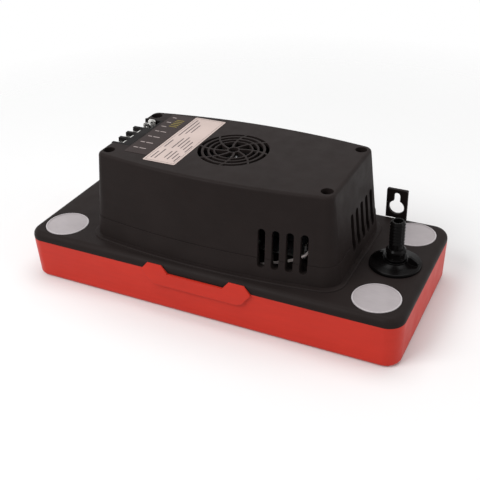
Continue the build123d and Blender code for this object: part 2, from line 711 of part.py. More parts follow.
def terminal_block():
    """Moulding with three open bays and a deep pocket for the safety switch leads."""
    left = HOUSING_X - TOP_LENGTH / 2 - BLOCK_DEPTH
    low = COVER_TOP - BLOCK_DEPTH
    body = block(left, BLOCK_INNER_X - BLOCK_GAP, BLOCK_FRONT + BLOCK_GAP, BLOCK_BACK - BLOCK_GAP,
                 low, COVER_TOP)
    body &= housing_loft(SEAM_Z, COVER_TOP, SEAM_STEP + BLOCK_SET_BACK)
    for number in range(BAYS):
        y = BAY_FIRST + number * BAY_PITCH
        body -= block(left, BAY_INNER_X, y - BAY_WIDTH / 2, y + BAY_WIDTH / 2,
                      COVER_TOP - BAY_DEPTH, COVER_TOP)
    body -= block(left, BLOCK_INNER_X - POCKET_WALL, POCKET_FRONT, BLOCK_BACK - POCKET_WALL,
                  COVER_TOP - POCKET_DEPTH, COVER_TOP)
    return body


def spade_terminals():
    """Three flat blades in the bays and two upright blades in the pocket."""
    blades = []
    root = BAY_INNER_X - LIFT_GAP
    flat_z = COVER_TOP - BAY_DEPTH
    hole_x = root - BLADE_REACH + BLADE_HOLE_INSET
    for number in range(BAYS):
        y = BAY_FIRST + number * BAY_PITCH
        y0, y1 = (y - BLADE_WIDTH / 2, y + BLADE_WIDTH / 2)
        blade = block(root - BLADE_REACH, root, y0, y1, flat_z, flat_z + BLADE_THICK)
        blade += block(root - BLADE_ROOT_LENGTH, root, y0, y1, flat_z, flat_z + BLADE_ROOT_HEIGHT)
        blades.append(blade - rod(BLADE_HOLE, flat_z, flat_z + BLADE_THICK, hole_x, y))
    low = COVER_TOP - POCKET_DEPTH
    hole_z = low + UPRIGHT_HEIGHT - BLADE_HOLE_INSET
    for number in range(UPRIGHTS):
        y = UPRIGHT_FIRST + number * UPRIGHT_PITCH
        blade = block(UPRIGHT_X - BLADE_WIDTH / 2, UPRIGHT_X + BLADE_WIDTH / 2,
                      y - BLADE_THICK / 2, y + BLADE_THICK / 2, low, low + UPRIGHT_HEIGHT)
        blade = chamfer(blade.edges().filter_by(Axis.Y).group_by(Axis.Z)[-1], BLADE_BEVEL)
        blades.append(blade - rod_y(BLADE_HOLE, y - BLADE_THICK, y + BLADE_THICK, UPRIGHT_X, hole_z))
    return blades


def inlet_cap(x, y):
    """Grey push-in plug with a shallow dished top."""
    seat = DECK_TOP - CAP_SEAT_DEPTH
    top = seat + CAP_THICK
    cap = rod(CAP_RADIUS, seat, top)
    cap = fillet(cap.edges().group_by(Axis.Z)[-1], CAP_ROUND)
    cap -= rod(CAP_RADIUS - CAP_RIM, top - CAP_DISH, top)
    outer = INLET_RADIUS - LIFT_GAP
    cap += tube(outer, outer - CAP_PLUG_WALL, seat - CAP_PLUG_DEPTH, seat)
    return Pos(x, y, 0) * cap


def check_valve():
    """Twist-in discharge fitting: lugged spigot, flange, collar with two wings, and hose barb."""
    bottom = DECK_TOP - SPIGOT_DEPTH
    flange = rod(FLANGE_RADIUS, DECK_TOP, DECK_TOP + FLANGE_THICK)
    flange = fillet(flange.edges().group_by(Axis.Z)[-1], FLANGE_ROUND)
    flange_top = DECK_TOP + FLANGE_THICK
    ring = COLLAR_RADIUS + COLLAR_RING
    ring_top = flange_top + COLLAR_RING_RISE
    barb_start = BARB_TOP - BARB_COUNT * BARB_PITCH
    profile = Polyline(
        (0, bottom), (SPIGOT_RADIUS, bottom), (SPIGOT_RADIUS, flange_top),
        (COLLAR_RADIUS + FLANGE_CONE, flange_top), (ring, flange_top + FLANGE_CONE_RISE), (ring, ring_top),
        (COLLAR_RADIUS, ring_top), (COLLAR_RADIUS, COLLAR_TOP - COLLAR_TAPER),
        (COLLAR_RADIUS - COLLAR_TAPER_IN, COLLAR_TOP), (NECK_RADIUS, COLLAR_TOP),
        (NECK_RADIUS, barb_start), (0, barb_start), close=True)
    body = flange + revolve(Plane.XZ * make_face(profile), Axis.Z)
    for number in range(BARB_COUNT):
        low = barb_start + number * BARB_PITCH
        body += Pos(0, 0, low + BARB_PITCH / 2) * Cone(BARB_RADIUS, BARB_ROOT, BARB_PITCH)
    groove_z = DECK_TOP - SEAL_DROP
    body -= tube(SPIGOT_RADIUS + OVERCUT, SPIGOT_RADIUS - 2 * SEAL_RADIUS,
                 groove_z - SEAL_RADIUS, groove_z + SEAL_RADIUS)
    for turn in (0, 180):
        lug = sector(SPIGOT_RADIUS + LUG_REACH, SPIGOT_RADIUS - ROOT, LUG_ANGLE,
                     DECK_TOP - LUG_DROP - LUG_HEIGHT, DECK_TOP - LUG_DROP)
        wing = make_face(Polyline((COLLAR_RADIUS - ROOT, flange_top), (WING_REACH, flange_top),
                                  (WING_REACH, flange_top + WING_TOE), (COLLAR_RADIUS + ROOT, WING_TOP),
                                  (COLLAR_RADIUS - ROOT, WING_TOP), close=True))
        body += Rot(0, 0, turn) * (lug + extrude(Plane.XZ * wing, WING_THICK / 2, both=True))
    body -= rod(PORT_RADIUS, bottom, SEAT_Z)
    cone_top = SEAT_Z + CHAMBER_RADIUS - PORT_RADIUS
    body -= Pos(0, 0, (SEAT_Z + cone_top) / 2) * Cone(PORT_RADIUS, CHAMBER_RADIUS, cone_top - SEAT_Z)
    stop = ball_rest_z() + BALL_LIFT + BALL_RADIUS + LIFT_GAP
    room = rod(CHAMBER_RADIUS, cone_top, stop + CAGE_HEIGHT)
    rib = block(CAGE_RIB_INNER, CHAMBER_RADIUS + ROOT, -CAGE_RIB_THICK / 2, CAGE_RIB_THICK / 2,
                stop, stop + CAGE_HEIGHT)
    for number in range(CAGE_RIBS):
        room -= Rot(0, 0, number * 360 / CAGE_RIBS) * rib
    body -= room
    body -= rod(BARB_BORE, stop + CAGE_HEIGHT - ROOT, BARB_TOP)
    return Pos(VALVE_X, 0, 0) * body


def ball_rest_z():
    """Height of the ball's centre just clear of its cone seat."""
    return SEAT_Z + (BALL_RADIUS + LIFT_GAP) * math.sqrt(2) - PORT_RADIUS


def valve_ball():
    return Pos(VALVE_X, 0, ball_rest_z()) * Sphere(BALL_RADIUS)


def valve_seal():
    """Ring seal in the spigot's groove."""
    section = SEAL_RADIUS - SCREW_GAP
    return Pos(VALVE_X, 0, DECK_TOP - SEAL_DROP) * Torus(SPIGOT_RADIUS - SEAL_RADIUS, section)


def stator_stack():
    """C-shaped core: rotor bore at the left, limb for the coil at the right."""
    x0 = MOTOR_X - STACK_LEFT
    x1 = MOTOR_X + STACK_RIGHT
    outline = block(x0, x1, -STACK_HALF_WIDTH, STACK_HALF_WIDTH, STACK_LOW, STACK_TOP)
    outline = fillet(outline.edges().filter_by(Axis.Z), STACK_ROUND)
    outline -= block(LIMB_LEFT - WINDOW_LENGTH, LIMB_LEFT, -WINDOW_HALF_WIDTH, WINDOW_HALF_WIDTH,
                     STACK_LOW, STACK_TOP)
    outline -= rod(ROTOR_RADIUS + AIR_GAP, STACK_LOW, STACK_TOP, MOTOR_X)
    for side in (-1, 1):
        outline -= rod(BOLT_RADIUS + SCREW_GAP, STACK_LOW, STACK_TOP, MOTOR_X, side * BOLT_Y)
    return outline


def coil_limits(build):
    """Faces of a rectangle round the limb, grown by a thickness."""
    return (LIMB_LEFT - build, LIMB_LEFT + LIMB_WIDTH + build, STACK_LOW - build, STACK_TOP + build)


def coil_bobbin():
    """Square spool on the limb."""
    end = WINDOW_HALF_WIDTH - LIFT_GAP
    x0, x1, z0, z1 = coil_limits(SCREW_GAP + BOBBIN_WALL)
    fx0, fx1, fz0, fz1 = coil_limits(COIL_BUILD + BOBBIN_WALL + BOBBIN_RIM)
    spool = block(x0, x1, -end, end, z0, z1)
    for side in (-1, 1):
        y0, y1 = sorted((side * end, side * (end - BOBBIN_WALL)))
        spool += block(fx0, fx1, y0, y1, fz0, fz1)
    hx0, hx1, hz0, hz1 = coil_limits(SCREW_GAP)
    return spool - block(hx0, hx1, -end, end, hz0, hz1)


def coil_winding():
    """Taped winding with rounded corners."""
    end = WINDOW_HALF_WIDTH - LIFT_GAP - BOBBIN_WALL - SCREW_GAP
    x0, x1, z0, z1 = coil_limits(BOBBIN_WALL + COIL_BUILD)
    outer = block(x0, x1, -end, end, z0, z1)
    outer = fillet(outer.edges().filter_by(Axis.Y), COIL_ROUND)
    hx0, hx1, hz0, hz1 = coil_limits(2 * SCREW_GAP + BOBBIN_WALL)
    return outer - block(hx0, hx1, -end, end, hz0, hz1)


def bridge(upper):
    """Bearing bridge: a strap on two feet with the bush housing in its middle."""
    foot = BOLT_RADIUS + BRIDGE_FOOT
    crown = BUSH_RADIUS + BRIDGE_BOSS
    half = [
        (crown, BRIDGE_RISE),
        (BOLT_Y - foot, BRIDGE_THICK),
        (BOLT_Y + foot, BRIDGE_THICK),
        (BOLT_Y + foot, 0),
        (BOLT_Y - foot - BRIDGE_THICK / 2, 0),
        (crown - BRIDGE_THICK / 2, BRIDGE_RISE - BRIDGE_THICK),
    ]
    strap = make_face(Polyline(*half, *[(-y, z) for y, z in reversed(half)], close=True))
    body = extrude(Plane.YZ * strap, BRIDGE_WIDTH / 2, both=True)
    body += rod(BUSH_RADIUS + BUSH_WALL, BRIDGE_RISE - BUSH_LENGTH, BRIDGE_RISE)
    body -= rod(BUSH_RADIUS + SCREW_GAP, 0, BRIDGE_RISE)
    for side in (-1, 1):
        body -= rod(BOLT_RADIUS + SCREW_GAP, 0, BRIDGE_THICK, 0, side * BOLT_Y)
    if upper:
        return Pos(MOTOR_X, 0, STACK_TOP) * body
    return Pos(MOTOR_X, 0, STACK_LOW) * Rot(180, 0, 0) * body


def shaft_bushes():
    """Sintered bushes in the two bridges."""
    inner = SHAFT_RADIUS + BEARING_GAP
    top = STACK_TOP + BRIDGE_RISE
    low = STACK_LOW - BRIDGE_RISE
    return [
        tube(BUSH_RADIUS, inner, top - BUSH_LENGTH, top, MOTOR_X),
        tube(BUSH_RADIUS, inner, low, low + BUSH_LENGTH, MOTOR_X),
    ]


def motor_bolts():
    """Two long bolts through bracket, bridges and stack."""
    head_z = STACK_TOP + BRIDGE_THICK
    length = head_z - BRACKET_Z + BOLT_END
    return [screw(BOLT_RADIUS, BOLT_HEAD, length, SCREW_HEAD_HEIGHT, head_z, MOTOR_X, side * BOLT_Y)
            for side in (-1, 1)]


def motor_spacers():
    """Tubes that hold the motor above its bracket."""
    low = BRACKET_Z + BRACKET_THICK
    high = STACK_LOW - BRIDGE_THICK
    return [tube(BOLT_RADIUS + SPACER_WALL, BOLT_RADIUS + SCREW_GAP, low, high, MOTOR_X, side * BOLT_Y)
            for side in (-1, 1)]


def motor_bracket():
    """Steel plate on the deck's standoffs, with a turned-up end."""
    x0 = MOTOR_X - BRACKET_LEFT
    x1 = MOTOR_X + BRACKET_RIGHT
    top = BRACKET_Z + BRACKET_THICK
    plate = block(x0, x1, -BRACKET_HALF_WIDTH, BRACKET_HALF_WIDTH, BRACKET_Z, top)
    plate += block(x1 - BRACKET_THICK, x1, -BRACKET_HALF_WIDTH, BRACKET_HALF_WIDTH,
                   BRACKET_Z, top + BRACKET_FLANGE)
    plate -= rod(BRACKET_HOLE, BRACKET_Z, top, MOTOR_X)
    for x, y in STANDOFFS:
        plate -= rod(SMALL_SCREW_RADIUS + SCREW_GAP, BRACKET_Z, top, x, y)
    for side in (-1, 1):
        plate -= rod(BOLT_RADIUS + SCREW_GAP, BRACKET_Z, top, MOTOR_X, side * BOLT_Y)
    return plate


def bracket_screws():
    head_z = BRACKET_Z + BRACKET_THICK
    return [screw(SMALL_SCREW_RADIUS, SMALL_SCREW_HEAD, SMALL_SCREW_LENGTH, SMALL_HEAD_HEIGHT, head_z, x, y)
            for x, y in STANDOFFS]


def motor_shaft():
    """One shaft from the fan down to the impeller."""
    return rod(SHAFT_RADIUS, IMPELLER_LOW, SHAFT_TOP, MOTOR_X)


def rotor_core():
    return tube(ROTOR_RADIUS, SHAFT_RADIUS + SCREW_GAP, STACK_LOW, STACK_TOP, MOTOR_X)


def blade(inner, outer, sweep, thick, z0, z1):
    """One curved blade of the fan or the impeller."""
    start = polar(inner, 0)
    middle = polar((inner + outer) / 2, -sweep * 0.35)
    end = polar(outer, -sweep)
    return extrude(Pos(0, 0, z0) * trace(ThreePointArc(start, middle, end), thick), z1 - z0)


def cooling_fan():
    """Backplate fan that draws air in through the grille."""
    body = rod(FAN_RADIUS, FAN_LOW, FAN_LOW + FAN_PLATE) + rod(FAN_HUB, FAN_LOW, FAN_LOW + FAN_HEIGHT)
    for number in range(FAN_BLADES):
        vane = blade(FAN_HUB - ROOT, FAN_RADIUS - FAN_BLADE_THICK, FAN_SWEEP, FAN_BLADE_THICK,
                     FAN_LOW + FAN_PLATE / 2, FAN_LOW + FAN_HEIGHT - FAN_PLATE)
        body += Rot(0, 0, number * 360 / FAN_BLADES) * vane
    body -= rod(SHAFT_RADIUS + SCREW_GAP, FAN_LOW, FAN_LOW + FAN_HEIGHT)
    return Pos(MOTOR_X, 0, 0) * body


def water_slinger():
    return tube(SLINGER_RADIUS, SHAFT_RADIUS + SCREW_GAP, SLINGER_Z, SLINGER_Z + SLINGER_THICK, MOTOR_X)


def impeller():
    """Open impeller with its vanes facing the suction plate."""
    top = IMPELLER_LOW + IMPELLER_HEIGHT
    body = rod(IMPELLER_RADIUS, top - IMPELLER_PLATE, top) + rod(IMPELLER_HUB, IMPELLER_LOW, top)
    for number in range(IMPELLER_BLADES):
        vane = blade(IMPELLER_HUB - ROOT, IMPELLER_RADIUS - IMPELLER_PLATE, IMPELLER_SWEEP, IMPELLER_PLATE,
                     IMPELLER_LOW, top - IMPELLER_PLATE / 2)
        body += Rot(0, 0, number * 360 / IMPELLER_BLADES) * vane
    body -= rod(SHAFT_RADIUS + SCREW_GAP, IMPELLER_LOW, top)
    return Pos(MOTOR_X, 0, 0) * body


def pump_screw_spots():
    spots = [polar(PUMP_SCREW_CIRCLE, 90 + number * 360 / PUMP_SCREWS) for number in range(PUMP_SCREWS)]
    return [(MOTOR_X + x, y) for x, y in spots]


def volute_body():
    """Pump chamber hung from the deck by a windowed column, with a hose nozzle."""
    roof = VOLUTE_FLOOR + VOLUTE_ROOM
    top = DECK_UNDER
    body = rod(VOLUTE_RADIUS + VOLUTE_WALL, VOLUTE_FLOOR, roof + VOLUTE_WALL)
    body += rod(COLUMN_RADIUS, roof, top)
    body += rod(PUMP_FLANGE_RADIUS, top - PUMP_FLANGE_THICK, top)
    body += rod_x(NOZZLE_ROOT_RADIUS, 0, VOLUTE_RADIUS + VOLUTE_WALL, NOZZLE_Y, NOZZLE_Z)
    body += rod_x(NOZZLE_RADIUS, 0, NOZZLE_END, NOZZLE_Y, NOZZLE_Z)
    body -= rod(VOLUTE_RADIUS, VOLUTE_FLOOR, roof)
    body -= rod(COLUMN_RADIUS - COLUMN_WALL, roof + VOLUTE_WALL, top)
    body -= rod(SHAFT_HOLE, roof, top)
    body -= rod_x(NOZZLE_BORE, 0, NOZZLE_END, NOZZLE_Y, NOZZLE_Z)
    window_low = roof + VOLUTE_WALL + COLUMN_WINDOW_MARGIN
    window_high = top - PUMP_FLANGE_THICK - COLUMN_WINDOW_MARGIN
    for number in range(COLUMN_WINDOWS):
        window = block(0, COLUMN_RADIUS + OVERCUT, -COLUMN_WINDOW_WIDTH / 2, COLUMN_WINDOW_WIDTH / 2,
                       window_low, window_high)
        body -= Rot(0, 0, COLUMN_WINDOW_TURN + number * 360 / COLUMN_WINDOWS) * window
    body = Pos(MOTOR_X, 0, 0) * body
    for x, y in pump_screw_spots():
        body -= rod(SMALL_SCREW_RADIUS + SCREW_GAP, top - PUMP_FLANGE_THICK, top, x, y)
    return body


def volute_screws():
    return [screw(SMALL_SCREW_RADIUS, SMALL_SCREW_HEAD, PUMP_SCREW_LENGTH, SMALL_HEAD_HEIGHT, DECK_TOP, x, y)
            for x, y in pump_screw_spots()]


def suction_plate():
    """Floor of the pump chamber, with the suction eye and a ring of feet that strains the water."""
    outer = VOLUTE_RADIUS + VOLUTE_WALL
    low = VOLUTE_FLOOR - SUCTION_PLATE
    body = tube(outer, SUCTION_RADIUS, low, VOLUTE_FLOOR)
    for number in range(SUCTION_FEET):
        foot = block(outer - FOOT_INSET - FOOT_REACH, outer - FOOT_INSET, -FOOT_WIDTH / 2, FOOT_WIDTH / 2,
                     low - FOOT_LENGTH, low)
        body += Rot(0, 0, number * 360 / SUCTION_FEET) * foot
    return Pos(MOTOR_X, 0, 0) * body


def discharge_hose():
    """Rubber hose from the nozzle to the check valve's stub."""
    start = (MOTOR_X + HOSE_START, NOZZLE_Y, NOZZLE_Z)
    bend = (MOTOR_X + HOSE_START + HOSE_FIRST_RUN, NOZZLE_Y, NOZZLE_Z)
    back = (VALVE_X - HOSE_LAST_RUN, 0, NOZZLE_Z)
    elbow = (VALVE_X, 0, NOZZLE_Z)
    end = (VALVE_X, 0, HOSE_TOP)
    path = FilletPolyline(start, bend, back, elbow, end,
                          radius=[HOSE_TURN_RADIUS, HOSE_TURN_RADIUS, HOSE_ELBOW_RADIUS])
    place = Plane(start, z_dir=(1, 0, 0))
    ring = Circle(HOSE_RADIUS) - Circle(NOZZLE_RADIUS + SCREW_GAP)
    return sweep(place * ring, path=path)


def float_block():
    """Foam float under the arm."""
    body = block(FLOAT_LEFT, FLOAT_RIGHT, -FLOAT_HALF_WIDTH, FLOAT_HALF_WIDTH,
                 FLOAT_LOW, FLOAT_LOW + FLOAT_HEIGHT)
    return fillet(body.edges(), FLOAT_ROUND)


def float_arm():
    """Lever from the pivot down to the float, with a flat for the push rod."""
    top = FLOAT_LOW + FLOAT_HEIGHT
    flat_end = PIVOT_X - ROD_OFFSET - ARM_FLAT
    side = make_face(Polyline(
        (PIVOT_X, PIVOT_Z - ARM_THICK / 2), (PIVOT_X, PIVOT_Z + ARM_THICK / 2),
        (flat_end, PIVOT_Z + ARM_THICK / 2), (FLOAT_RIGHT - ARM_REST, top + ARM_THICK),
        (FLOAT_LEFT + ARM_INSET, top + ARM_THICK), (FLOAT_LEFT + ARM_INSET, top),
        (FLOAT_RIGHT - ARM_THICK, top), (flat_end + ARM_THICK / 3, PIVOT_Z - ARM_THICK / 2), close=True))
    arm = extrude(Plane.XZ * side, ARM_WIDTH / 2, both=True)
    arm += rod_y(PIVOT_BARREL, -ARM_WIDTH / 2, ARM_WIDTH / 2, PIVOT_X, PIVOT_Z)
    arm += block(FLOAT_LEFT + PAD_INSET, FLOAT_RIGHT - PAD_INSET, -ARM_WIDTH, ARM_WIDTH, top, top + ARM_THICK)
    return arm - rod_y(PIVOT_PIN_RADIUS + BEARING_GAP, -ARM_WIDTH, ARM_WIDTH, PIVOT_X, PIVOT_Z)


def float_pivot_pin():
    half = ARM_WIDTH / 2 + LIFT_GAP + LUG_THICK
    return rod_y(PIVOT_PIN_RADIUS, -half, half, PIVOT_X, PIVOT_Z)


def lever_underside():
    """Height of the resting lever's underside over the push rod."""
    pivot_x = SWITCH_LEFT + LEVER_PIVOT_INSET
    pivot_z = SWITCH_LOW - LEVER_PIVOT_DROP
    drop = (ROD_X - pivot_x) * math.tan(math.radians(LEVER_DROOP))
    return pivot_z - drop - LEVER_THICK / 2 / math.cos(math.radians(LEVER_DROOP))


def push_rod():
    """Rod from the float arm to the switch levers, with a stepped crossbar on top."""
    low = PIVOT_Z + ARM_THICK / 2 + LIFT_GAP
    top = lever_underside() - LIFT_GAP - CROSSBAR_WIDTH / 2 * math.tan(math.radians(LEVER_DROOP))
    reach = SWITCH_APART + SWITCH_WIDTH / 2 + LEVER_WIDTH / 2
    body = rod(ROD_RADIUS, low, top - CROSSBAR_THICK, ROD_X)
    half = CROSSBAR_WIDTH / 2
    body += block(ROD_X - half, ROD_X + half, -half, reach, top - CROSSBAR_THICK, top)
    body += block(ROD_X - half, ROD_X + half, -reach, half,
                  top - OVERFLOW_STEP - CROSSBAR_THICK, top - OVERFLOW_STEP)
    return body


def switch_holes():
    """Places of the two mounting holes in a switch."""
    low = (SWITCH_LEFT + SWITCH_SCREW_INSET, SWITCH_LOW + SWITCH_SCREW_INSET)
    high = (SWITCH_LEFT + SWITCH_LENGTH - SWITCH_SCREW_INSET, SWITCH_LOW + SWITCH_HEIGHT - SWITCH_SCREW_INSET)
    return [low, high]


def switch_body(y0, y1):
    """Snap switch with ears that hold its lever's pin."""
    x0 = SWITCH_LEFT
    body = block(x0, x0 + SWITCH_LENGTH, y0, y1, SWITCH_LOW, SWITCH_LOW + SWITCH_HEIGHT)
    pivot_x = x0 + LEVER_PIVOT_INSET
    pivot_z = SWITCH_LOW - LEVER_PIVOT_DROP
    middle = (y0 + y1) / 2
    for side in (-1, 1):
        inner = middle + side * (LEVER_WIDTH / 2 + LEVER_SIDE_GAP)
        e0, e1 = sorted((inner, inner + side * EAR_THICK))
        body += block(pivot_x - EAR_HALF, pivot_x + EAR_HALF, e0, e1, pivot_z - EAR_HALF, SWITCH_LOW)
    pin_half = LEVER_WIDTH / 2 + LEVER_SIDE_GAP + EAR_THICK / 2
    body += rod_y(LEVER_PIN, middle - pin_half, middle + pin_half, pivot_x, pivot_z)
    top = SWITCH_LOW + SWITCH_HEIGHT
    for number in range(SWITCH_TAGS):
        x = x0 + SWITCH_TAG_FIRST + number * SWITCH_TAG_PITCH
        body += block(x, x + BLADE_WIDTH / 2, middle - BLADE_THICK / 2, middle + BLADE_THICK / 2,
                      top, top + SWITCH_TAG_HEIGHT)
    for x, z in switch_holes():
        body -= rod_y(SWITCH_HOLE_RADIUS, y0, y1, x, z)
    return body


def lever(y):
    """Sprung strip with a rolled eye, drooping at rest."""
    pivot = Pos(SWITCH_LEFT + LEVER_PIVOT_INSET, y, SWITCH_LOW - LEVER_PIVOT_DROP)
    strip = block(0, LEVER_LENGTH, -LEVER_WIDTH / 2, LEVER_WIDTH / 2, -LEVER_THICK / 2, LEVER_THICK / 2)
    strip += rod_y(LEVER_BARREL, -LEVER_WIDTH / 2, LEVER_WIDTH / 2, 0, 0)
    strip -= rod_y(LEVER_PIN + BEARING_GAP, -LEVER_WIDTH / 2, LEVER_WIDTH / 2, 0, 0)
    return pivot * Rot(0, LEVER_DROOP, 0) * strip


def switch_plate_feet():
    """Places of the screws in the switch bracket's foot."""
    y = SWITCH_APART + SWITCH_WIDTH + SWITCH_FOOT_SCREW
    return [(SWITCH_LEFT + SWITCH_FOOT_INSET, y), (SWITCH_LEFT + SWITCH_LENGTH - SWITCH_FOOT_INSET, y)]


def switch_bracket():
    """Bent steel plate behind the two switches."""
    y0 = SWITCH_APART + SWITCH_WIDTH
    y1 = y0 + SWITCH_PLATE_THICK
    foot = DECK_TOP + SWITCH_PAD_RISE
    x0 = SWITCH_LEFT - SWITCH_PLATE_MARGIN
    x1 = SWITCH_LEFT + SWITCH_LENGTH + SWITCH_PLATE_MARGIN
    body = block(x0, x1, y0, y1, foot, SWITCH_LOW + SWITCH_HEIGHT)
    body += block(x0, x1, y0, y0 + SWITCH_FOOT_DEPTH, foot, foot + SWITCH_PLATE_THICK)
    for x, z in switch_holes():
        body -= rod_y(SWITCH_HOLE_RADIUS, y0, y1, x, z)
    for x, y in switch_plate_feet():
        body -= rod(SMALL_SCREW_RADIUS + SCREW_GAP, foot, foot + SWITCH_PLATE_THICK, x, y)
    return body


def switch_screws():
    """Two long screws through both switches, and two short ones in the bracket's foot."""
    front = -(SWITCH_APART + SWITCH_WIDTH)
    back = SWITCH_APART + SWITCH_WIDTH + SWITCH_PLATE_THICK
    screws = []
    for x, z in switch_holes():
        shank = rod_y(SWITCH_SCREW_RADIUS, front, back + SWITCH_SCREW_END, x, z)
        head = rod_y(SMALL_SCREW_HEAD, front - SMALL_HEAD_HEIGHT, front, x, z)
        nut = rod_y(SMALL_SCREW_HEAD, back, back + SWITCH_NUT, x, z)
        screws.append(shank + head + nut)
    foot = DECK_TOP + SWITCH_PAD_RISE + SWITCH_PLATE_THICK
    for x, y in switch_plate_feet():
        screws.append(screw(SMALL_SCREW_RADIUS, SMALL_SCREW_HEAD, foot - DECK_UNDER, SMALL_HEAD_HEIGHT,
                            foot, x, y))
    return screws


def switch_spacers():
    """Tubes that keep the two switches apart."""
    return [rod_y(SWITCH_HOLE_RADIUS + SPACER_RING, -SWITCH_APART, SWITCH_APART, x, z)
            - rod_y(SWITCH_HOLE_RADIUS, -SWITCH_APART, SWITCH_APART, x, z) for x, z in switch_holes()]


def cord_grommet():
    """Flanged bush in the cover's back wall."""
    inner = GROMMET_FACE_Y - GROMMET_LENGTH
    body = rod_y(GROMMET_RADIUS, inner, GROMMET_FACE_Y, GROMMET_X, GROMMET_Z)
    body += rod_y(GROMMET_FLANGE, GROMMET_FACE_Y, GROMMET_FACE_Y + GROMMET_FLANGE_THICK, GROMMET_X, GROMMET_Z)
    return body - rod_y(GROMMET_BORE, inner, GROMMET_FACE_Y + GROMMET_FLANGE_THICK, GROMMET_X, GROMMET_Z)


SWITCH_MIDDLE = SWITCH_APART + SWITCH_WIDTH / 2
NODES = {
    "tank": tank,
    "deck": deck,
    "motor_cover": motor_cover,
    "cover_screws": cover_screws,
    "terminal_block": terminal_block,
    "spade_terminals": spade_terminals,
    "cord_grommet": cord_grommet,
    "hanger_left": lambda: hanger(-1),
    "hanger_right": lambda: hanger(1),
    "check_valve": check_valve,
    "valve_ball": valve_ball,
    "valve_seal": valve_seal,
    "stator_stack": stator_stack,
    "coil_bobbin": coil_bobbin,
    "coil_winding": coil_winding,
    "upper_bridge": lambda: bridge(True),
    "lower_bridge": lambda: bridge(False),
    "shaft_bushes": shaft_bushes,
    "motor_bolts": motor_bolts,
    "motor_spacers": motor_spacers,
    "motor_bracket": motor_bracket,
    "bracket_screws": bracket_screws,
    "motor_shaft": motor_shaft,
    "rotor_core": rotor_core,
    "cooling_fan": cooling_fan,
    "water_slinger": water_slinger,
    "impeller": impeller,
    "volute_body": volute_body,
    "volute_screws": volute_screws,
    "suction_plate": suction_plate,
    "discharge_hose": discharge_hose,
    "float": float_block,
    "float_arm": float_arm,
    "float_pivot_pin": float_pivot_pin,
    "push_rod": push_rod,
    "switch_bracket": switch_bracket,
    "run_switch": lambda: switch_body(SWITCH_APART, SWITCH_APART + SWITCH_WIDTH),
    "run_lever": lambda: lever(SWITCH_MIDDLE),
    "overflow_switch": lambda: switch_body(-SWITCH_APART - SWITCH_WIDTH, -SWITCH_APART),
    "overflow_lever": lambda: lever(-SWITCH_MIDDLE),
    "switch_screws": switch_screws,
    "switch_spacers": switch_spacers,
}
for corner in ("front_left", "front_right", "rear_right"):
    NODES["inlet_cap_" + corner] = lambda spot=INLETS[corner]: inlet_cap(*spot)


os.makedirs("parts", exist_ok=True)
for name, make in NODES.items():
    shape = make()
    if isinstance(shape, list):
        shape = Compound(children=shape)
    shape.label = name
    export_step(shape, "parts/" + name + ".step")
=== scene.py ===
import json
import math

import bmesh
import bpy
from mathutils import Matrix, Vector


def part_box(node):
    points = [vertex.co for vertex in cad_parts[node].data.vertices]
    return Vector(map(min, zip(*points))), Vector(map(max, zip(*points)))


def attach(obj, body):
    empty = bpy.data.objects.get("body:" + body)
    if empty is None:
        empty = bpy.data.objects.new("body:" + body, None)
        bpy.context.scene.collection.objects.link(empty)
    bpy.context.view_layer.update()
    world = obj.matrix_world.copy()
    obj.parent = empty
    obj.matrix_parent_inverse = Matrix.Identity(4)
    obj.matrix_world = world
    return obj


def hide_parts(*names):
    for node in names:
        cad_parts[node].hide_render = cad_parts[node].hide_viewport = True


# The looks of a low condensate pump. Lengths are in metres unless a comment says millimetres, and places are
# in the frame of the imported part. Colours are red, green and blue from 0 to 1.

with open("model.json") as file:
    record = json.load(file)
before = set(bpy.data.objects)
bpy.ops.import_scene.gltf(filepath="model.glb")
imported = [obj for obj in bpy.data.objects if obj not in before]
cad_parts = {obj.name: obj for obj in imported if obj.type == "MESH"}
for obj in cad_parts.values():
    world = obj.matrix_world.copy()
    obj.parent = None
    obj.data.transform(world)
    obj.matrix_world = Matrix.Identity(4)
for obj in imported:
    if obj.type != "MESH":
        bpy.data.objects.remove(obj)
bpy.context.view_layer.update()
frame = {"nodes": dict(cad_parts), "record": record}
MM = 0.001

# Camera at the photograph's angle, for a picture of 480 by 480. Angles are in degrees, lens and sensor in
# millimetres.
CAMERA_PLACE = Vector((0.24073, -0.45583, 0.34620))
CAMERA_AZIMUTH = 27.54
CAMERA_ELEVATION = 31.61
CAMERA_ROLL = -2.51
CAMERA_LENS = 60.11
CAMERA_SENSOR = 36.0
CAMERA_NEAR = 0.01

# Values that the finishes share
EDGE_RADIUS = 0.5 * MM
EDGE_SAMPLES = 6
NOISE_RANGE = (0.3, 0.7)
STREAK_DETAIL = 3.0
BROAD_RELIEF = 0.25 * MM
TARNISHED = 0.75
SOILED = 0.86

# Numbers of the sockets on a node that mixes two colours
MIX_FACTOR = 0
MIX_FIRST = 6
MIX_SECOND = 7
MIX_RESULT = 2


# Helpers for shader nodes
def tint(colour, share):
    """The colour made darker or lighter by one factor."""
    return tuple(min(1.0, c * share) for c in colour)


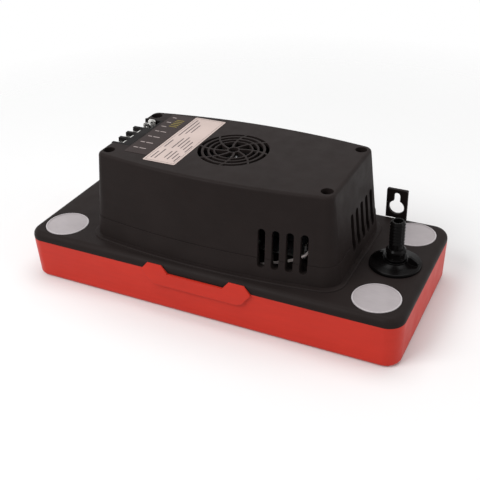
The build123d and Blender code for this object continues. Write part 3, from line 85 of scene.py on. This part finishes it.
class Nodes:
    """A material's node tree with a short way to add and join nodes."""

    def __init__(self, name):
        self.material = bpy.data.materials.new(name)
        self.material.use_nodes = True
        self.tree = self.material.node_tree
        self.shader = self.tree.nodes["Principled BSDF"]
        self.coords = self.add("ShaderNodeTexCoord")

    def add(self, kind, **values):
        """A new node. Each value goes to the property or else the socket of its name."""
        node = self.tree.nodes.new(kind)
        for key, value in values.items():
            if hasattr(node, key):
                setattr(node, key, value)
            else:
                node.inputs[key.replace("_", " ")].default_value = value
        return node

    def join(self, source, target):
        self.tree.links.new(source, target)

    def set(self, **values):
        """Plain values on the shader's own sockets."""
        for key, value in values.items():
            self.shader.inputs[key.replace("_", " ")].default_value = value

    def paint(self, source):
        """Gives the shader its colour."""
        self.join(source, self.shader.inputs["Base Color"])

    def dull(self, source, low, high):
        """Varies the shader's roughness between two values."""
        self.join(self.scaled(source, low, high), self.shader.inputs["Roughness"])

    def placed(self, kind, **values):
        """A new node that reads the piece's own coordinates."""
        node = self.add(kind, **values)
        self.join(self.coords.outputs["Object"], node.inputs["Vector"])
        return node

    def noise(self, scale, detail=2.0, roughness=0.5):
        node = self.placed("ShaderNodeTexNoise", Scale=scale, Detail=detail, Roughness=roughness)
        return node.outputs["Fac"]

    def stretched(self, scale, stretch):
        """Noise drawn out along one axis, for brushing and flow marks."""
        mapping = self.placed("ShaderNodeMapping", Scale=stretch)
        node = self.add("ShaderNodeTexNoise", Scale=scale, Detail=STREAK_DETAIL)
        self.join(mapping.outputs["Vector"], node.inputs["Vector"])
        return node.outputs["Fac"]

    def ramp(self, source, places, colours):
        """Goes from one colour to the other as the source goes from one place to the other."""
        node = self.add("ShaderNodeValToRGB")
        for element, place, colour in zip(node.color_ramp.elements, places, colours):
            element.position = place
            element.color = (*colour, 1.0)
        self.join(source, node.inputs["Fac"])
        return node.outputs["Color"]

    def clouded(self, source, colour, share, places=NOISE_RANGE):
        """The colour, darker and lighter by a share of itself."""
        return self.ramp(source, places, (tint(colour, 1 - share), tint(colour, 1 + share)))

    def scaled(self, source, low, high, places=NOISE_RANGE):
        """Goes from low to high as the source goes from one place to the other."""
        start, end = places
        node = self.add("ShaderNodeMapRange", From_Min=start, From_Max=end, To_Min=low, To_Max=high)
        self.join(source, node.inputs["Value"])
        return node.outputs["Result"]

    def mixed(self, first, second, factor):
        """Mixes two colours. The colours and the factor are sockets or plain values."""
        node = self.add("ShaderNodeMix", data_type="RGBA")
        for place, value in ((MIX_FACTOR, factor), (MIX_FIRST, first), (MIX_SECOND, second)):
            socket = node.inputs[place]
            if isinstance(value, bpy.types.NodeSocket):
                self.join(value, socket)
            else:
                socket.default_value = value if place == MIX_FACTOR else (*value, 1.0)
        return node.outputs[MIX_RESULT]

    def bump(self, height, strength, distance, below=None):
        """Relief for the shader, laid over the normal below it where there is one."""
        node = self.add("ShaderNodeBump", Strength=strength, Distance=distance)
        self.join(height, node.inputs["Height"])
        if below is not None:
            self.join(below, node.inputs["Normal"])
        self.join(node.outputs["Normal"], self.shader.inputs["Normal"])
        return node.outputs["Normal"]

    def soft_edges(self):
        """Rounds the mesh's edges for the light, as a mould's small radii do."""
        return self.add("ShaderNodeBevel", samples=EDGE_SAMPLES, Radius=EDGE_RADIUS).outputs["Normal"]

    def painted_edge_highlight(self, colour, highlight_colour, places):
        """Paints a highlight on outer edges: a lighter colour, from the mesh's own pointiness."""
        shape = self.add("ShaderNodeNewGeometry").outputs["Pointiness"]
        return self.mixed(colour, highlight_colour, factor=self.scaled(shape, low=0.0, high=1.0, places=places))


# Finishes
def moulded(name, colour, rough, spread=0.06, grain=2600.0, grain_depth=0.05 * MM, specular=0.5, cloud=0.12,
            ior=1.45):
    """Injection-moulded plastic: fine grain and faint flow clouds."""
    n = Nodes(name)
    cloudy = n.clouded(n.noise(scale=38.0, detail=4.0), colour, cloud)
    marks = n.stretched(scale=60.0, stretch=(1.0, 1.0, 4.0))
    flow = n.clouded(marks, colour, cloud / 2, places=(0.35, 0.65))
    n.paint(n.mixed(cloudy, flow, factor=0.4))
    fine = n.noise(scale=grain, roughness=0.6)
    broad = n.noise(scale=95.0, detail=3.0)
    n.dull(broad, low=rough - spread, high=rough + spread)
    first = n.bump(fine, strength=0.35, distance=grain_depth, below=n.soft_edges())
    n.bump(broad, strength=0.06, distance=BROAD_RELIEF, below=first)
    n.set(Specular_IOR_Level=specular, IOR=ior)
    return n.material


def metal(name, colour, rough, stretch=(1.0, 1.0, 14.0), scale=260.0):
    """Plated or ground metal with brushing along one axis and slight tarnish."""
    n = Nodes(name)
    brushed = n.stretched(scale, stretch)
    stain = n.noise(scale=70.0, detail=4.0)
    n.paint(n.ramp(stain, (0.35, 0.75), (colour, tint(colour, TARNISHED))))
    n.dull(brushed, low=rough - 0.08, high=rough + 0.12)
    n.bump(brushed, strength=0.15, distance=0.04 * MM)
    n.set(Metallic=1.0)
    return n.material


def red_tank():
    """Satin red moulding with faint flow lines along the walls."""
    n = Nodes("red_moulding")
    cloudy = n.ramp(n.noise(scale=24.0, detail=4.0), NOISE_RANGE, RED_CLOUDS)
    streak = n.ramp(n.stretched(scale=70.0, stretch=(1.0, 1.0, 7.0)), NOISE_RANGE, RED_STREAKS)
    n.paint(n.mixed(cloudy, streak, factor=0.45))
    fine = n.noise(scale=2200.0, roughness=0.6)
    broad = n.noise(scale=70.0, detail=3.0)
    n.dull(broad, low=0.36, high=0.46)
    first = n.bump(fine, strength=0.25, distance=0.035 * MM, below=n.soft_edges())
    n.bump(broad, strength=0.07, distance=BROAD_RELIEF, below=first)
    n.set(Specular_IOR_Level=0.5, IOR=TANK_IOR)
    return n.material


def laminated():
    """Stacked steel sheets, seen as fine level lines."""
    n = Nodes("stack_laminations")
    wave = n.placed("ShaderNodeTexWave", wave_type="BANDS", bands_direction="Z", Scale=260.0, Distortion=0.4)
    sheets = wave.outputs["Fac"]
    n.paint(n.ramp(sheets, (0.2, 0.8), ((0.10, 0.10, 0.11), (0.30, 0.30, 0.32))))
    n.bump(sheets, strength=0.4, distance=0.1 * MM)
    n.set(Metallic=0.85, Roughness=0.5)
    return n.material


def shade_darkened_winding():
    """Brown varnished tape wound over the coil, with overlapping turns; its brown is darkened as painted
    shade of the cover's inside.
    """
    n = Nodes("winding_tape")
    wave = n.placed("ShaderNodeTexWave", wave_type="BANDS", bands_direction="Y", Scale=55.0, Distortion=1.2)
    turns = wave.outputs["Fac"]
    # Dark browns: varnished tape, made darker as painted shade for the inside of the cover
    n.paint(n.ramp(turns, (0.1, 0.6), ((0.10, 0.055, 0.015), (0.17, 0.10, 0.03))))
    n.bump(turns, strength=0.5, distance=0.15 * MM)
    n.set(Roughness=0.35, Coat_Weight=0.3)
    return n.material


def foam():
    """Closed cell foam with a skin of small cells."""
    n = Nodes("float_cells")
    cells = n.placed("ShaderNodeTexVoronoi", Scale=900.0).outputs["Distance"]
    n.paint(n.ramp(cells, (0.1, 0.6), ((0.62, 0.60, 0.55), (0.80, 0.79, 0.74))))
    n.bump(cells, strength=0.4, distance=0.12 * MM)
    n.set(Roughness=0.8)
    return n.material


def paper(name, colour, rough=0.45):
    """Printed label stock with a faint weave and soiling."""
    n = Nodes(name)
    n.paint(n.ramp(n.noise(scale=45.0, detail=5.0), (0.3, 0.8), (colour, tint(colour, SOILED))))
    fibre = n.noise(scale=1400.0, detail=3.0)
    n.dull(fibre, low=rough - 0.06, high=rough + 0.1)
    n.bump(fibre, strength=0.12, distance=0.03 * MM)
    n.set(Specular_IOR_Level=0.15)
    return n.material


def cap_plastic():
    """Grey satin moulding with faint turned rings and a painted highlight along its edges."""
    n = Nodes("cap_moulding")
    cloudy = n.clouded(n.noise(scale=60.0, detail=4.0), CAP_GREY, share=0.1)
    streak = n.clouded(n.stretched(scale=130.0, stretch=(1.0, 6.0, 1.0)), CAP_GREY, share=0.07)
    grey = n.mixed(cloudy, streak, factor=0.5)
    # The rims get a lighter grey, painted as a highlight
    n.paint(n.painted_edge_highlight(grey, CAP_EDGE_HIGHLIGHT, places=(0.51, 0.56)))
    n.bump(n.noise(scale=1800.0), strength=0.2, distance=0.04 * MM)
    n.dull(n.noise(scale=80.0), low=0.34, high=0.5)
    return n.material


# Dark glossy plastics get a low index of refraction, which keeps them black at a slant
SOFT_IOR = 1.12
VALVE_IOR = 1.15
TANK_IOR = 1.25
COVER_BLACK = (0.0178, 0.0135, 0.0128)
VALVE_BLACK = (0.0030, 0.0025, 0.0025)
CAP_GREY = (0.345, 0.310, 0.318)
# Lighter grey painted on the caps' rims as a highlight
CAP_EDGE_HIGHLIGHT = (0.52, 0.49, 0.50)
RED_CLOUDS = ((0.46, 0.024, 0.013), (0.54, 0.030, 0.016))
RED_STREAKS = ((0.46, 0.025, 0.014), (0.53, 0.029, 0.016))

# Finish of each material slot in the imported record
FINISHES = {
    "tank_red": red_tank(),
    "black_plastic": moulded("black_moulding", COVER_BLACK, rough=0.46, grain_depth=0.06 * MM, ior=SOFT_IOR),
    "terminal_plastic": moulded("terminal_moulding", (0.009, 0.008, 0.008), rough=0.42, grain=3200.0,
                                ior=SOFT_IOR),
    "tin_plate": metal("tin_plating", (0.78, 0.77, 0.74), rough=0.30, stretch=(1.0, 10.0, 1.0), scale=420.0),
    "black_rubber": moulded("rubber", (0.014, 0.014, 0.014), rough=0.62, grain=4000.0, specular=0.3),
    "zinc_steel": metal("zinc_plating", (0.62, 0.62, 0.60), rough=0.34, stretch=(9.0, 1.0, 1.0)),
    "lamination_steel": laminated(),
    "nylon": moulded("natural_nylon", (0.66, 0.64, 0.56), rough=0.42, grain=3000.0, cloud=0.05),
    "winding_tape": shade_darkened_winding(),
    "cast_alloy": metal("cast_alloy", (0.60, 0.60, 0.61), rough=0.48, stretch=(1.0, 1.0, 1.0), scale=900.0),
    "bronze": metal("sintered_bronze", (0.46, 0.30, 0.15), rough=0.5, stretch=(1.0, 1.0, 1.0), scale=1200.0),
    "pump_plastic": moulded("pump_moulding", (0.008, 0.008, 0.008), rough=0.5, ior=SOFT_IOR),
    "switch_plastic": moulded("switch_moulding", (0.014, 0.014, 0.016), rough=0.4, grain=3500.0,
                              ior=SOFT_IOR),
    "shaft_steel": metal("ground_steel", (0.58, 0.58, 0.59), rough=0.22, stretch=(1.0, 1.0, 0.3)),
    "rotor_alloy": metal("rotor_cast", (0.42, 0.42, 0.44), rough=0.45),
    "float_foam": foam(),
    "valve_plastic": moulded("valve_moulding", VALVE_BLACK, rough=0.22, spread=0.05, grain=2400.0,
                             grain_depth=0.02 * MM, ior=VALVE_IOR),
    "cap_grey": cap_plastic(),
}

# Finishes of the scene's own pieces
PAPER_WHITE = paper("rating_stock", (0.52, 0.42, 0.385))
INK_GREY = paper("ink_grey", (0.10, 0.08, 0.08))
WIRING_BROWN = paper("wiring_stock", (0.022, 0.013, 0.012), rough=0.5)
INK_PALE = paper("ink_pale", (0.32, 0.27, 0.26))
INK_YELLOW = paper("ink_yellow", (0.18, 0.14, 0.022))
LEAD_SLEEVE = moulded("lead_sleeve", (0.62, 0.55, 0.53), rough=0.4, grain=4000.0)

# Shading of curved faces
SHARP_ANGLE = math.radians(28.0)
WELD_REACH = 0.002 * MM


def even_shading(thing):
    """Smooth shading that breaks only at real edges, weighted by the size of the faces."""
    weld = thing.modifiers.new("weld", "WELD")
    weld.merge_threshold = WELD_REACH
    split = thing.modifiers.new("split", "EDGE_SPLIT")
    split.split_angle = SHARP_ANGLE
    thing.modifiers.new("weighted", "WEIGHTED_NORMAL")


def dress_nodes():
    """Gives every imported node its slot's finish and even shading."""
    slots = {row["node"]: row["material_slot"] for row in frame["record"]["subparts"]}
    for name, thing in frame["nodes"].items():
        thing.data.materials.clear()
        thing.data.materials.append(FINISHES[slots[name]])
        for polygon in thing.data.polygons:
            polygon.material_index = 0
            polygon.use_smooth = True
        even_shading(thing)


# Helpers for new pieces
CORNER_STEPS = 4


def add_object(name, data):
    """A new object in the scene's collection."""
    thing = bpy.data.objects.new(name, data)
    bpy.context.scene.collection.objects.link(thing)
    return thing


def new_piece(name, body, finish, build):
    """Makes a mesh with a bmesh function and sets it on a body."""
    mesh = bpy.data.meshes.new(name)
    bm = bmesh.new()
    build(bm)
    bmesh.ops.recalc_face_normals(bm, faces=bm.faces)
    bm.to_mesh(mesh)
    bm.free()
    piece = add_object(name, mesh)
    mesh.materials.append(finish)
    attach(piece, body)
    return piece


def add_prism(bm, near, far):
    """Closed solid between two outlines of as many points."""
    first = [bm.verts.new(point) for point in near]
    second = [bm.verts.new(point) for point in far]
    bm.faces.new(first)
    bm.faces.new(reversed(second))
    for number in range(len(first)):
        other = (number + 1) % len(first)
        bm.faces.new((first[other], first[number], second[number], second[other]))


def add_level_prism(bm, outline, low, high):
    """Closed solid over a level outline, between two heights."""
    add_prism(bm, [(x, y, high) for x, y in outline], [(x, y, low) for x, y in outline])


def add_plate(bm, box, low, high, corner=0.0):
    """A thin plate over a box of x0, x1, y0 and y1, with rounded corners."""
    x0, x1, y0, y1 = box
    outline = []
    for cx, cy, start in ((x1, y1, 0), (x0, y1, 90), (x0, y0, 180), (x1, y0, 270)):
        centre_x = cx - corner if cx == x1 else cx + corner
        centre_y = cy - corner if cy == y1 else cy + corner
        for step in range(CORNER_STEPS + 1 if corner else 1):
            turn = math.radians(start + 90 * step / CORNER_STEPS)
            outline.append((centre_x + corner * math.cos(turn), centre_y + corner * math.sin(turn)))
    add_level_prism(bm, outline, low, high)


# Labels on the cover's top, with plain rules and bars in the place of print. A box is x0, x1, y0, y1.
COVER_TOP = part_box("motor_cover")[1].z
LABEL_TOP = COVER_TOP + 0.15 * MM
LABEL_CORNER = 1.0 * MM
INK_THICK = 0.03 * MM
LABEL_LOW = COVER_TOP - INK_THICK
INK_LOW = LABEL_TOP - INK_THICK / 2
INK_TOP = LABEL_TOP + INK_THICK
RATING_BOX = (-51.4 * MM, -25.8 * MM, -37.3 * MM, 40.9 * MM)
RULE_INSET = 1.4 * MM
RULE_WIDTH = 0.25 * MM
BAR_WIDTH = 0.9 * MM
WIRING_BOX = (-71.0 * MM, -52.0 * MM, -30.5 * MM, 39.5 * MM)

# Bars of the rating label: share of its width where a bar lies, and shares of its length for the bar's ends
RATING_BARS = (
    (0.14, 0.06, 0.20), (0.14, 0.30, 0.46), (0.14, 0.56, 0.94), (0.26, 0.06, 0.26), (0.26, 0.62, 0.90),
    (0.38, 0.30, 0.52), (0.38, 0.66, 0.84), (0.50, 0.10, 0.24), (0.50, 0.34, 0.56), (0.62, 0.08, 0.26),
    (0.62, 0.32, 0.50), (0.74, 0.10, 0.22), (0.74, 0.30, 0.48), (0.86, 0.06, 0.18), (0.86, 0.26, 0.40),
)

# Rows of the wiring label in millimetres: y of the middle, and x of the two ends
WIRING_ROWS = (
    (-22.0, -68.4, -64.4), (-22.0, -63.4, -58.0), (-12.4, -68.4, -64.8), (-12.4, -63.6, -58.0),
    (-2.0, -68.4, -65.0), (-2.0, -64.0, -58.6), (8.0, -68.4, -64.8), (8.0, -63.8, -59.0),
    (17.0, -68.4, -64.2), (25.0, -68.4, -64.6), (34.0, -68.4, -65.0),
)
ROW_HALF = 0.5

# Yellow bars of the wiring label: y of the first and their pitch are in millimetres
YELLOW_COUNT = 5
YELLOW_FIRST = 18.5
YELLOW_PITCH = 2.9
YELLOW_WIDTH = 1.1 * MM
YELLOW_ENDS = (-63.0 * MM, -56.4 * MM)


def rating_marks():
    """Boxes of the frame of rules and of the bars."""
    x0, x1, y0, y1 = RATING_BOX
    left = x0 + RULE_INSET
    right = x1 - RULE_INSET
    front = y0 + RULE_INSET
    back = y1 - RULE_INSET
    boxes = [
        (left, left + RULE_WIDTH, front, back),
        (right - RULE_WIDTH, right, front, back),
        (left, right, front, front + RULE_WIDTH),
        (left, right, back - RULE_WIDTH, back),
    ]
    width = x1 - x0
    length = y1 - y0
    for across, start, end in RATING_BARS:
        x = x0 + across * width
        boxes.append((x, x + BAR_WIDTH, y0 + start * length, y0 + end * length))
    return boxes


def wiring_marks():
    """Boxes of the pale rows."""
    return [(start * MM, end * MM, (y - ROW_HALF) * MM, (y + ROW_HALF) * MM) for y, start, end in WIRING_ROWS]


def yellow_marks():
    """Boxes of the yellow bars."""
    places = [(YELLOW_FIRST + number * YELLOW_PITCH) * MM for number in range(YELLOW_COUNT)]
    return [(*YELLOW_ENDS, y, y + YELLOW_WIDTH) for y in places]


def label_piece(name, finish, boxes, low, high, corner=0.0):
    """One piece of level plates on the cover."""
    def build(bm):
        for box in boxes:
            add_plate(bm, box, low, high, corner)

    new_piece(name, "head", finish, build)


def add_labels():
    """Each label is a sheet with its marks as thin plates on top."""
    label_piece("rating_label", PAPER_WHITE, [RATING_BOX], LABEL_LOW, LABEL_TOP, LABEL_CORNER)
    label_piece("rating_rules", INK_GREY, rating_marks(), INK_LOW, INK_TOP)
    label_piece("wiring_label", WIRING_BROWN, [WIRING_BOX], LABEL_LOW, LABEL_TOP, LABEL_CORNER)
    label_piece("wiring_rows", INK_PALE, wiring_marks(), INK_LOW, INK_TOP)
    label_piece("wiring_bars", INK_YELLOW, yellow_marks(), INK_LOW, INK_TOP)


# Discharge fitting, turned about the valve's upright axis
VALVE_LOW, VALVE_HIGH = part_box("check_valve")
VALVE_X = 0.5 * (VALVE_LOW.x + VALVE_HIGH.x)
VALVE_BOTTOM = VALVE_LOW.z
VALVE_TOP = VALVE_HIGH.z
DECK_TOP = VALVE_BOTTOM + 8.0 * MM
ROUND_OFF = 0.3 * MM
TURN_STEPS = 96

# Its bore, with the room of the ball
PORT_RADIUS = 2.6 * MM
SEAT_LOW = DECK_TOP - 3.0 * MM
SEAT_HIGH = DECK_TOP - 0.6 * MM
CHAMBER_RADIUS = 5.0 * MM
CHAMBER_TOP = DECK_TOP + 9.0 * MM
BORE_RADIUS = 3.2 * MM

# Its spigot in the deck, with the groove of the seal and the lugs of the twist lock
SPIGOT_RADIUS = 9.0 * MM
GROOVE_RADIUS = 7.2 * MM
GROOVE_LOW = VALVE_BOTTOM + 0.3 * MM
GROOVE_HIGH = VALVE_BOTTOM + 2.1 * MM
LUG_INNER = 8.6 * MM
LUG_OUTER = 10.8 * MM
LUG_LOW = DECK_TOP - 5.4 * MM
LUG_HIGH = DECK_TOP - 3.4 * MM
LUG_HALF_ANGLE = 25.0
LUG_STEPS = 6

# Its flange, and the two rings above it
FLANGE_RADIUS = 0.5 * (VALVE_HIGH.x - VALVE_LOW.x)
FLANGE_TOP = DECK_TOP + 2.4 * MM
FLANGE_CORNER = 1.0 * MM
WAIST_RADIUS = 6.3 * MM
RING_COUNT = 2
RING_RADIUS = 8.4 * MM
RING_LOW = FLANGE_TOP + 1.6 * MM
RING_PITCH = 1.8 * MM
RING_STEP_IN = 0.7 * MM
RING_BELLY = 0.1 * MM
RING_MIDDLE = 0.55 * MM
RING_HEIGHT = 1.1 * MM
RING_CLEAR = 1.2 * MM
SKIRT_RADIUS = RING_RADIUS + 3.6 * MM

# Its collar, and the ribbed barb
COLLAR_RADIUS = 6.9 * MM
COLLAR_TOP = DECK_TOP + 13.5 * MM
COLLAR_FOOT = COLLAR_TOP - 3.6 * MM
COLLAR_LOW = COLLAR_TOP - 3.0 * MM
COLLAR_CORNER = 1.2 * MM
NECK_RADIUS = 5.0 * MM
BARB_RADIUS = 5.3 * MM
BARB_ROOT = 4.2 * MM
BARB_COUNT = 7
BARB_PITCH = 2.4 * MM
BARB_LIP = 0.15 * MM
BARB_LIP_HEIGHT = 0.05 * MM

# Its two wings: distance from the axis and height of each corner of one, as seen from the front
WING_HALF = 1.3 * MM
WING_LOW = FLANGE_TOP - 0.2 * MM
WING_REACH = 16.0 * MM
WING_CREST = DECK_TOP + 8.2 * MM
WING_WEB_TOP = FLANGE_TOP + 2.7 * MM
WING_OUTLINE = (
    (WAIST_RADIUS, WING_LOW), (WING_REACH, WING_LOW), (WING_REACH, FLANGE_TOP + 2.0 * MM),
    (15.4 * MM, FLANGE_TOP + 2.9 * MM), (10.8 * MM, WING_CREST), (9.0 * MM, WING_CREST),
    (9.0 * MM, WING_WEB_TOP), (WAIST_RADIUS, WING_WEB_TOP),
)


def valve_profile():
    """Radius and height of each point of the section, up the outside and down the bore."""
    points = [
        (PORT_RADIUS, VALVE_BOTTOM), (SPIGOT_RADIUS, VALVE_BOTTOM), (SPIGOT_RADIUS, GROOVE_LOW),
        (GROOVE_RADIUS, GROOVE_LOW), (GROOVE_RADIUS, GROOVE_HIGH), (SPIGOT_RADIUS, GROOVE_HIGH),
        (SPIGOT_RADIUS, DECK_TOP), (FLANGE_RADIUS, DECK_TOP), (FLANGE_RADIUS, FLANGE_TOP - FLANGE_CORNER),
        (FLANGE_RADIUS - ROUND_OFF, FLANGE_TOP - ROUND_OFF), (FLANGE_RADIUS - FLANGE_CORNER, FLANGE_TOP),
        (SKIRT_RADIUS, FLANGE_TOP),
    ]
    for number in range(RING_COUNT):
        radius = RING_RADIUS - number * RING_STEP_IN
        low = RING_LOW + number * RING_PITCH
        points += [(radius, low), (radius + RING_BELLY, low + RING_MIDDLE), (radius, low + RING_HEIGHT),
                   (WAIST_RADIUS, low + RING_CLEAR)]
    barb_low = VALVE_TOP - BARB_COUNT * BARB_PITCH
    points += [
        (WAIST_RADIUS, COLLAR_FOOT), (COLLAR_RADIUS, COLLAR_LOW), (COLLAR_RADIUS, COLLAR_TOP - COLLAR_CORNER),
        (COLLAR_RADIUS - COLLAR_CORNER, COLLAR_TOP), (NECK_RADIUS, COLLAR_TOP), (NECK_RADIUS, barb_low),
        (BARB_ROOT, barb_low),
    ]
    for number in range(BARB_COUNT):
        low = barb_low + number * BARB_PITCH
        points += [(BARB_RADIUS - BARB_LIP, low + BARB_LIP_HEIGHT), (BARB_RADIUS, low + ROUND_OFF),
                   (BARB_ROOT, low + BARB_PITCH)]
    points += [
        (BARB_ROOT - ROUND_OFF, VALVE_TOP), (BORE_RADIUS, VALVE_TOP), (BORE_RADIUS, CHAMBER_TOP),
        (CHAMBER_RADIUS, CHAMBER_TOP), (CHAMBER_RADIUS, SEAT_HIGH), (PORT_RADIUS, SEAT_LOW),
    ]
    return points


def add_turned(bm, profile):
    """Turns a closed section about the valve's axis."""
    rings = []
    for step in range(TURN_STEPS):
        turn = 2 * math.pi * step / TURN_STEPS
        across = math.cos(turn)
        along = math.sin(turn)
        rings.append([bm.verts.new((VALVE_X + r * across, r * along, z)) for r, z in profile])
    for ring, following in zip(rings, rings[1:] + rings[:1]):
        for number in range(len(profile)):
            other = (number + 1) % len(profile)
            bm.faces.new((ring[number], following[number], following[other], ring[other]))


def add_wing(bm, side):
    """Flat wing beside the rings, for the fingers that turn the fitting."""
    near = [(VALVE_X + side * r, -WING_HALF, z) for r, z in WING_OUTLINE]
    far = [(VALVE_X + side * r, WING_HALF, z) for r, z in WING_OUTLINE]
    add_prism(bm, near, far)


def lug_arc(radius, side):
    """Points of an arc about the valve's axis, as wide as a lug."""
    points = []
    for step in range(LUG_STEPS + 1):
        turn = math.radians(-LUG_HALF_ANGLE + 2 * LUG_HALF_ANGLE * step / LUG_STEPS)
        points.append((VALVE_X + side * radius * math.cos(turn), side * radius * math.sin(turn)))
    return points


def add_lug(bm, side):
    """Lug of the twist lock on the spigot."""
    outline = lug_arc(LUG_INNER, side) + lug_arc(LUG_OUTER, side)[::-1]
    add_level_prism(bm, outline, LUG_LOW, LUG_HIGH)


def discharge_fitting():
    """The turned fitting with its wings and lugs, in the place of the plainer solid."""
    def build(bm):
        add_turned(bm, valve_profile())
        for side in (-1, 1):
            add_wing(bm, side)
            add_lug(bm, side)

    finish = FINISHES["valve_plastic"]
    piece = new_piece("discharge_fitting", "discharge_valve", finish, build)
    piece.data.shade_smooth()
    piece.data.set_sharp_from_angle(angle=SHARP_ANGLE)
    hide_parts("check_valve")


# Lead from the coil to the terminals, seen through the front slots, with its route in millimetres
LEAD_RADIUS = 1.0 * MM
LEAD_ROUNDNESS = 4
LEAD_STEPS = 8
LEAD_ROUTE = (
    (58.0, -14.7, 64.0), (68.0, -24.0, 64.0), (73.6, -36.0, 58.6), (70.3, -39.8, 55.4), (62.6, -42.0, 51.9),
    (52.2, -43.2, 48.3), (42.4, -43.8, 45.0), (20.0, -45.2, 42.0), (-10.0, -45.2, 41.0), (-36.0, -42.6, 41.2),
    (-58.0, -36.8, 43.4), (-72.0, -23.0, 55.0), (-78.0, -18.0, 93.5),
)


def coil_lead():
    """A round sleeve along one smooth curve."""
    curve = bpy.data.curves.new("coil_lead", "CURVE")
    curve.dimensions = "3D"
    curve.bevel_depth = LEAD_RADIUS
    curve.bevel_resolution = LEAD_ROUNDNESS
    curve.resolution_u = LEAD_STEPS
    curve.use_fill_caps = True
    spline = curve.splines.new("BEZIER")
    spline.bezier_points.add(len(LEAD_ROUTE) - 1)
    for point, place in zip(spline.bezier_points, LEAD_ROUTE):
        point.co = [c * MM for c in place]
        point.handle_left_type = "AUTO"
        point.handle_right_type = "AUTO"
    curve.materials.append(LEAD_SLEEVE)
    piece = add_object("coil_lead", curve)
    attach(piece, "head")


# Floor, light and camera
WHITE = (1.0, 1.0, 1.0, 1.0)
AMBIENT = 0.5
BACKDROP = 1.0
FLOOR_TONES = ((0.80, 0.80, 0.80), (0.82, 0.82, 0.82))
FLOOR_FADE = (0.22, 0.60)

# Lamps: name, place, the point that it faces, width and depth, and power in watts
LAMPS = (
    ("key", (-0.45, -0.75, 0.95), (0.0, 0.0, 0.05), (0.7, 0.5), 9.0),
    ("fill", (0.95, 0.10, 0.45), (0.1, 0.0, 0.03), (0.5, 0.5), 1.8),
    ("top", (0.0, 0.25, 1.1), (0.0, 0.0, 0.05), (0.9, 0.6), 5.0),
)


def floor_paint():
    """White paint that thins out into the backdrop far from the part."""
    n = Nodes("floor_paint")
    n.paint(n.ramp(n.noise(scale=3.0), NOISE_RANGE, FLOOR_TONES))
    n.set(Roughness=0.9, Specular_IOR_Level=0.1)
    reach = n.placed("ShaderNodeVectorMath", operation="LENGTH")
    fade = n.scaled(reach.outputs["Value"], low=0.0, high=1.0, places=FLOOR_FADE)
    open_air = n.add("ShaderNodeBsdfTransparent")
    blend = n.add("ShaderNodeMixShader")
    for place, source in enumerate((fade, n.shader.outputs["BSDF"], open_air.outputs["BSDF"])):
        n.join(source, blend.inputs[place])
    n.join(blend.outputs["Shader"], n.tree.nodes["Material Output"].inputs["Surface"])
    return n.material


def pale_floor():
    """A level sheet under the part, as far as its paint reaches."""
    mesh = bpy.data.meshes.new("floor")
    size = FLOOR_FADE[1]
    corners = [(-size, -size, 0), (size, -size, 0), (size, size, 0), (-size, size, 0)]
    mesh.from_pydata(corners, [], [(0, 1, 2, 3)])
    mesh.materials.append(floor_paint())
    add_object("floor", mesh)


def area_light(name, place, target, size, power):
    """A soft lamp that faces a point."""
    data = bpy.data.lights.new(name, "AREA")
    data.shape = "RECTANGLE"
    data.size, data.size_y = size
    data.energy = power
    lamp = add_object(name, data)
    lamp.location = place
    lamp.rotation_euler = (Vector(target) - Vector(place)).to_track_quat("-Z", "Y").to_euler()


def studio():
    """A world that looks white to the camera and in gloss, and lights the part at a lower level."""
    world = bpy.data.worlds.new("studio")
    bpy.context.scene.world = world
    world.use_nodes = True
    tree = world.node_tree
    background = tree.nodes["Background"]
    background.inputs["Color"].default_value = WHITE
    paths = tree.nodes.new("ShaderNodeLightPath")
    seen = paths.outputs["Is Camera Ray"]
    for kind in ("Is Glossy Ray", "Is Transmission Ray"):
        either = tree.nodes.new("ShaderNodeMath")
        either.operation = "MAXIMUM"
        tree.links.new(seen, either.inputs[0])
        tree.links.new(paths.outputs[kind], either.inputs[1])
        seen = either.outputs["Value"]
    strength = tree.nodes.new("ShaderNodeMapRange")
    strength.inputs["To Min"].default_value = AMBIENT
    strength.inputs["To Max"].default_value = BACKDROP
    tree.links.new(seen, strength.inputs["Value"])
    tree.links.new(strength.outputs["Result"], background.inputs["Strength"])
    for lamp in LAMPS:
        area_light(*lamp)


def photo_camera():
    """The camera at the photograph's place and angle."""
    data = bpy.data.cameras.new("camera")
    data.lens = CAMERA_LENS
    data.sensor_width = CAMERA_SENSOR
    data.clip_start = CAMERA_NEAR
    azimuth = math.radians(CAMERA_AZIMUTH)
    elevation = math.radians(CAMERA_ELEVATION)
    roll = math.radians(CAMERA_ROLL)
    back = Vector((math.sin(azimuth) * math.cos(elevation), -math.cos(azimuth) * math.cos(elevation),
                   math.sin(elevation)))
    level = Vector((0, 0, 1)).cross(back).normalized()
    upright = back.cross(level)
    right = level * math.cos(roll) + upright * math.sin(roll)
    up = upright * math.cos(roll) - level * math.sin(roll)
    axes = Matrix((right, up, back)).transposed()
    camera = add_object("camera", data)
    camera.matrix_world = Matrix.Translation(CAMERA_PLACE) @ axes.to_4x4()
    bpy.context.scene.camera = camera


# The scene
dress_nodes()
add_labels()
discharge_fitting()
coil_lead()
pale_floor()
studio()
photo_camera()
bpy.context.scene.view_settings.view_transform = "Standard"
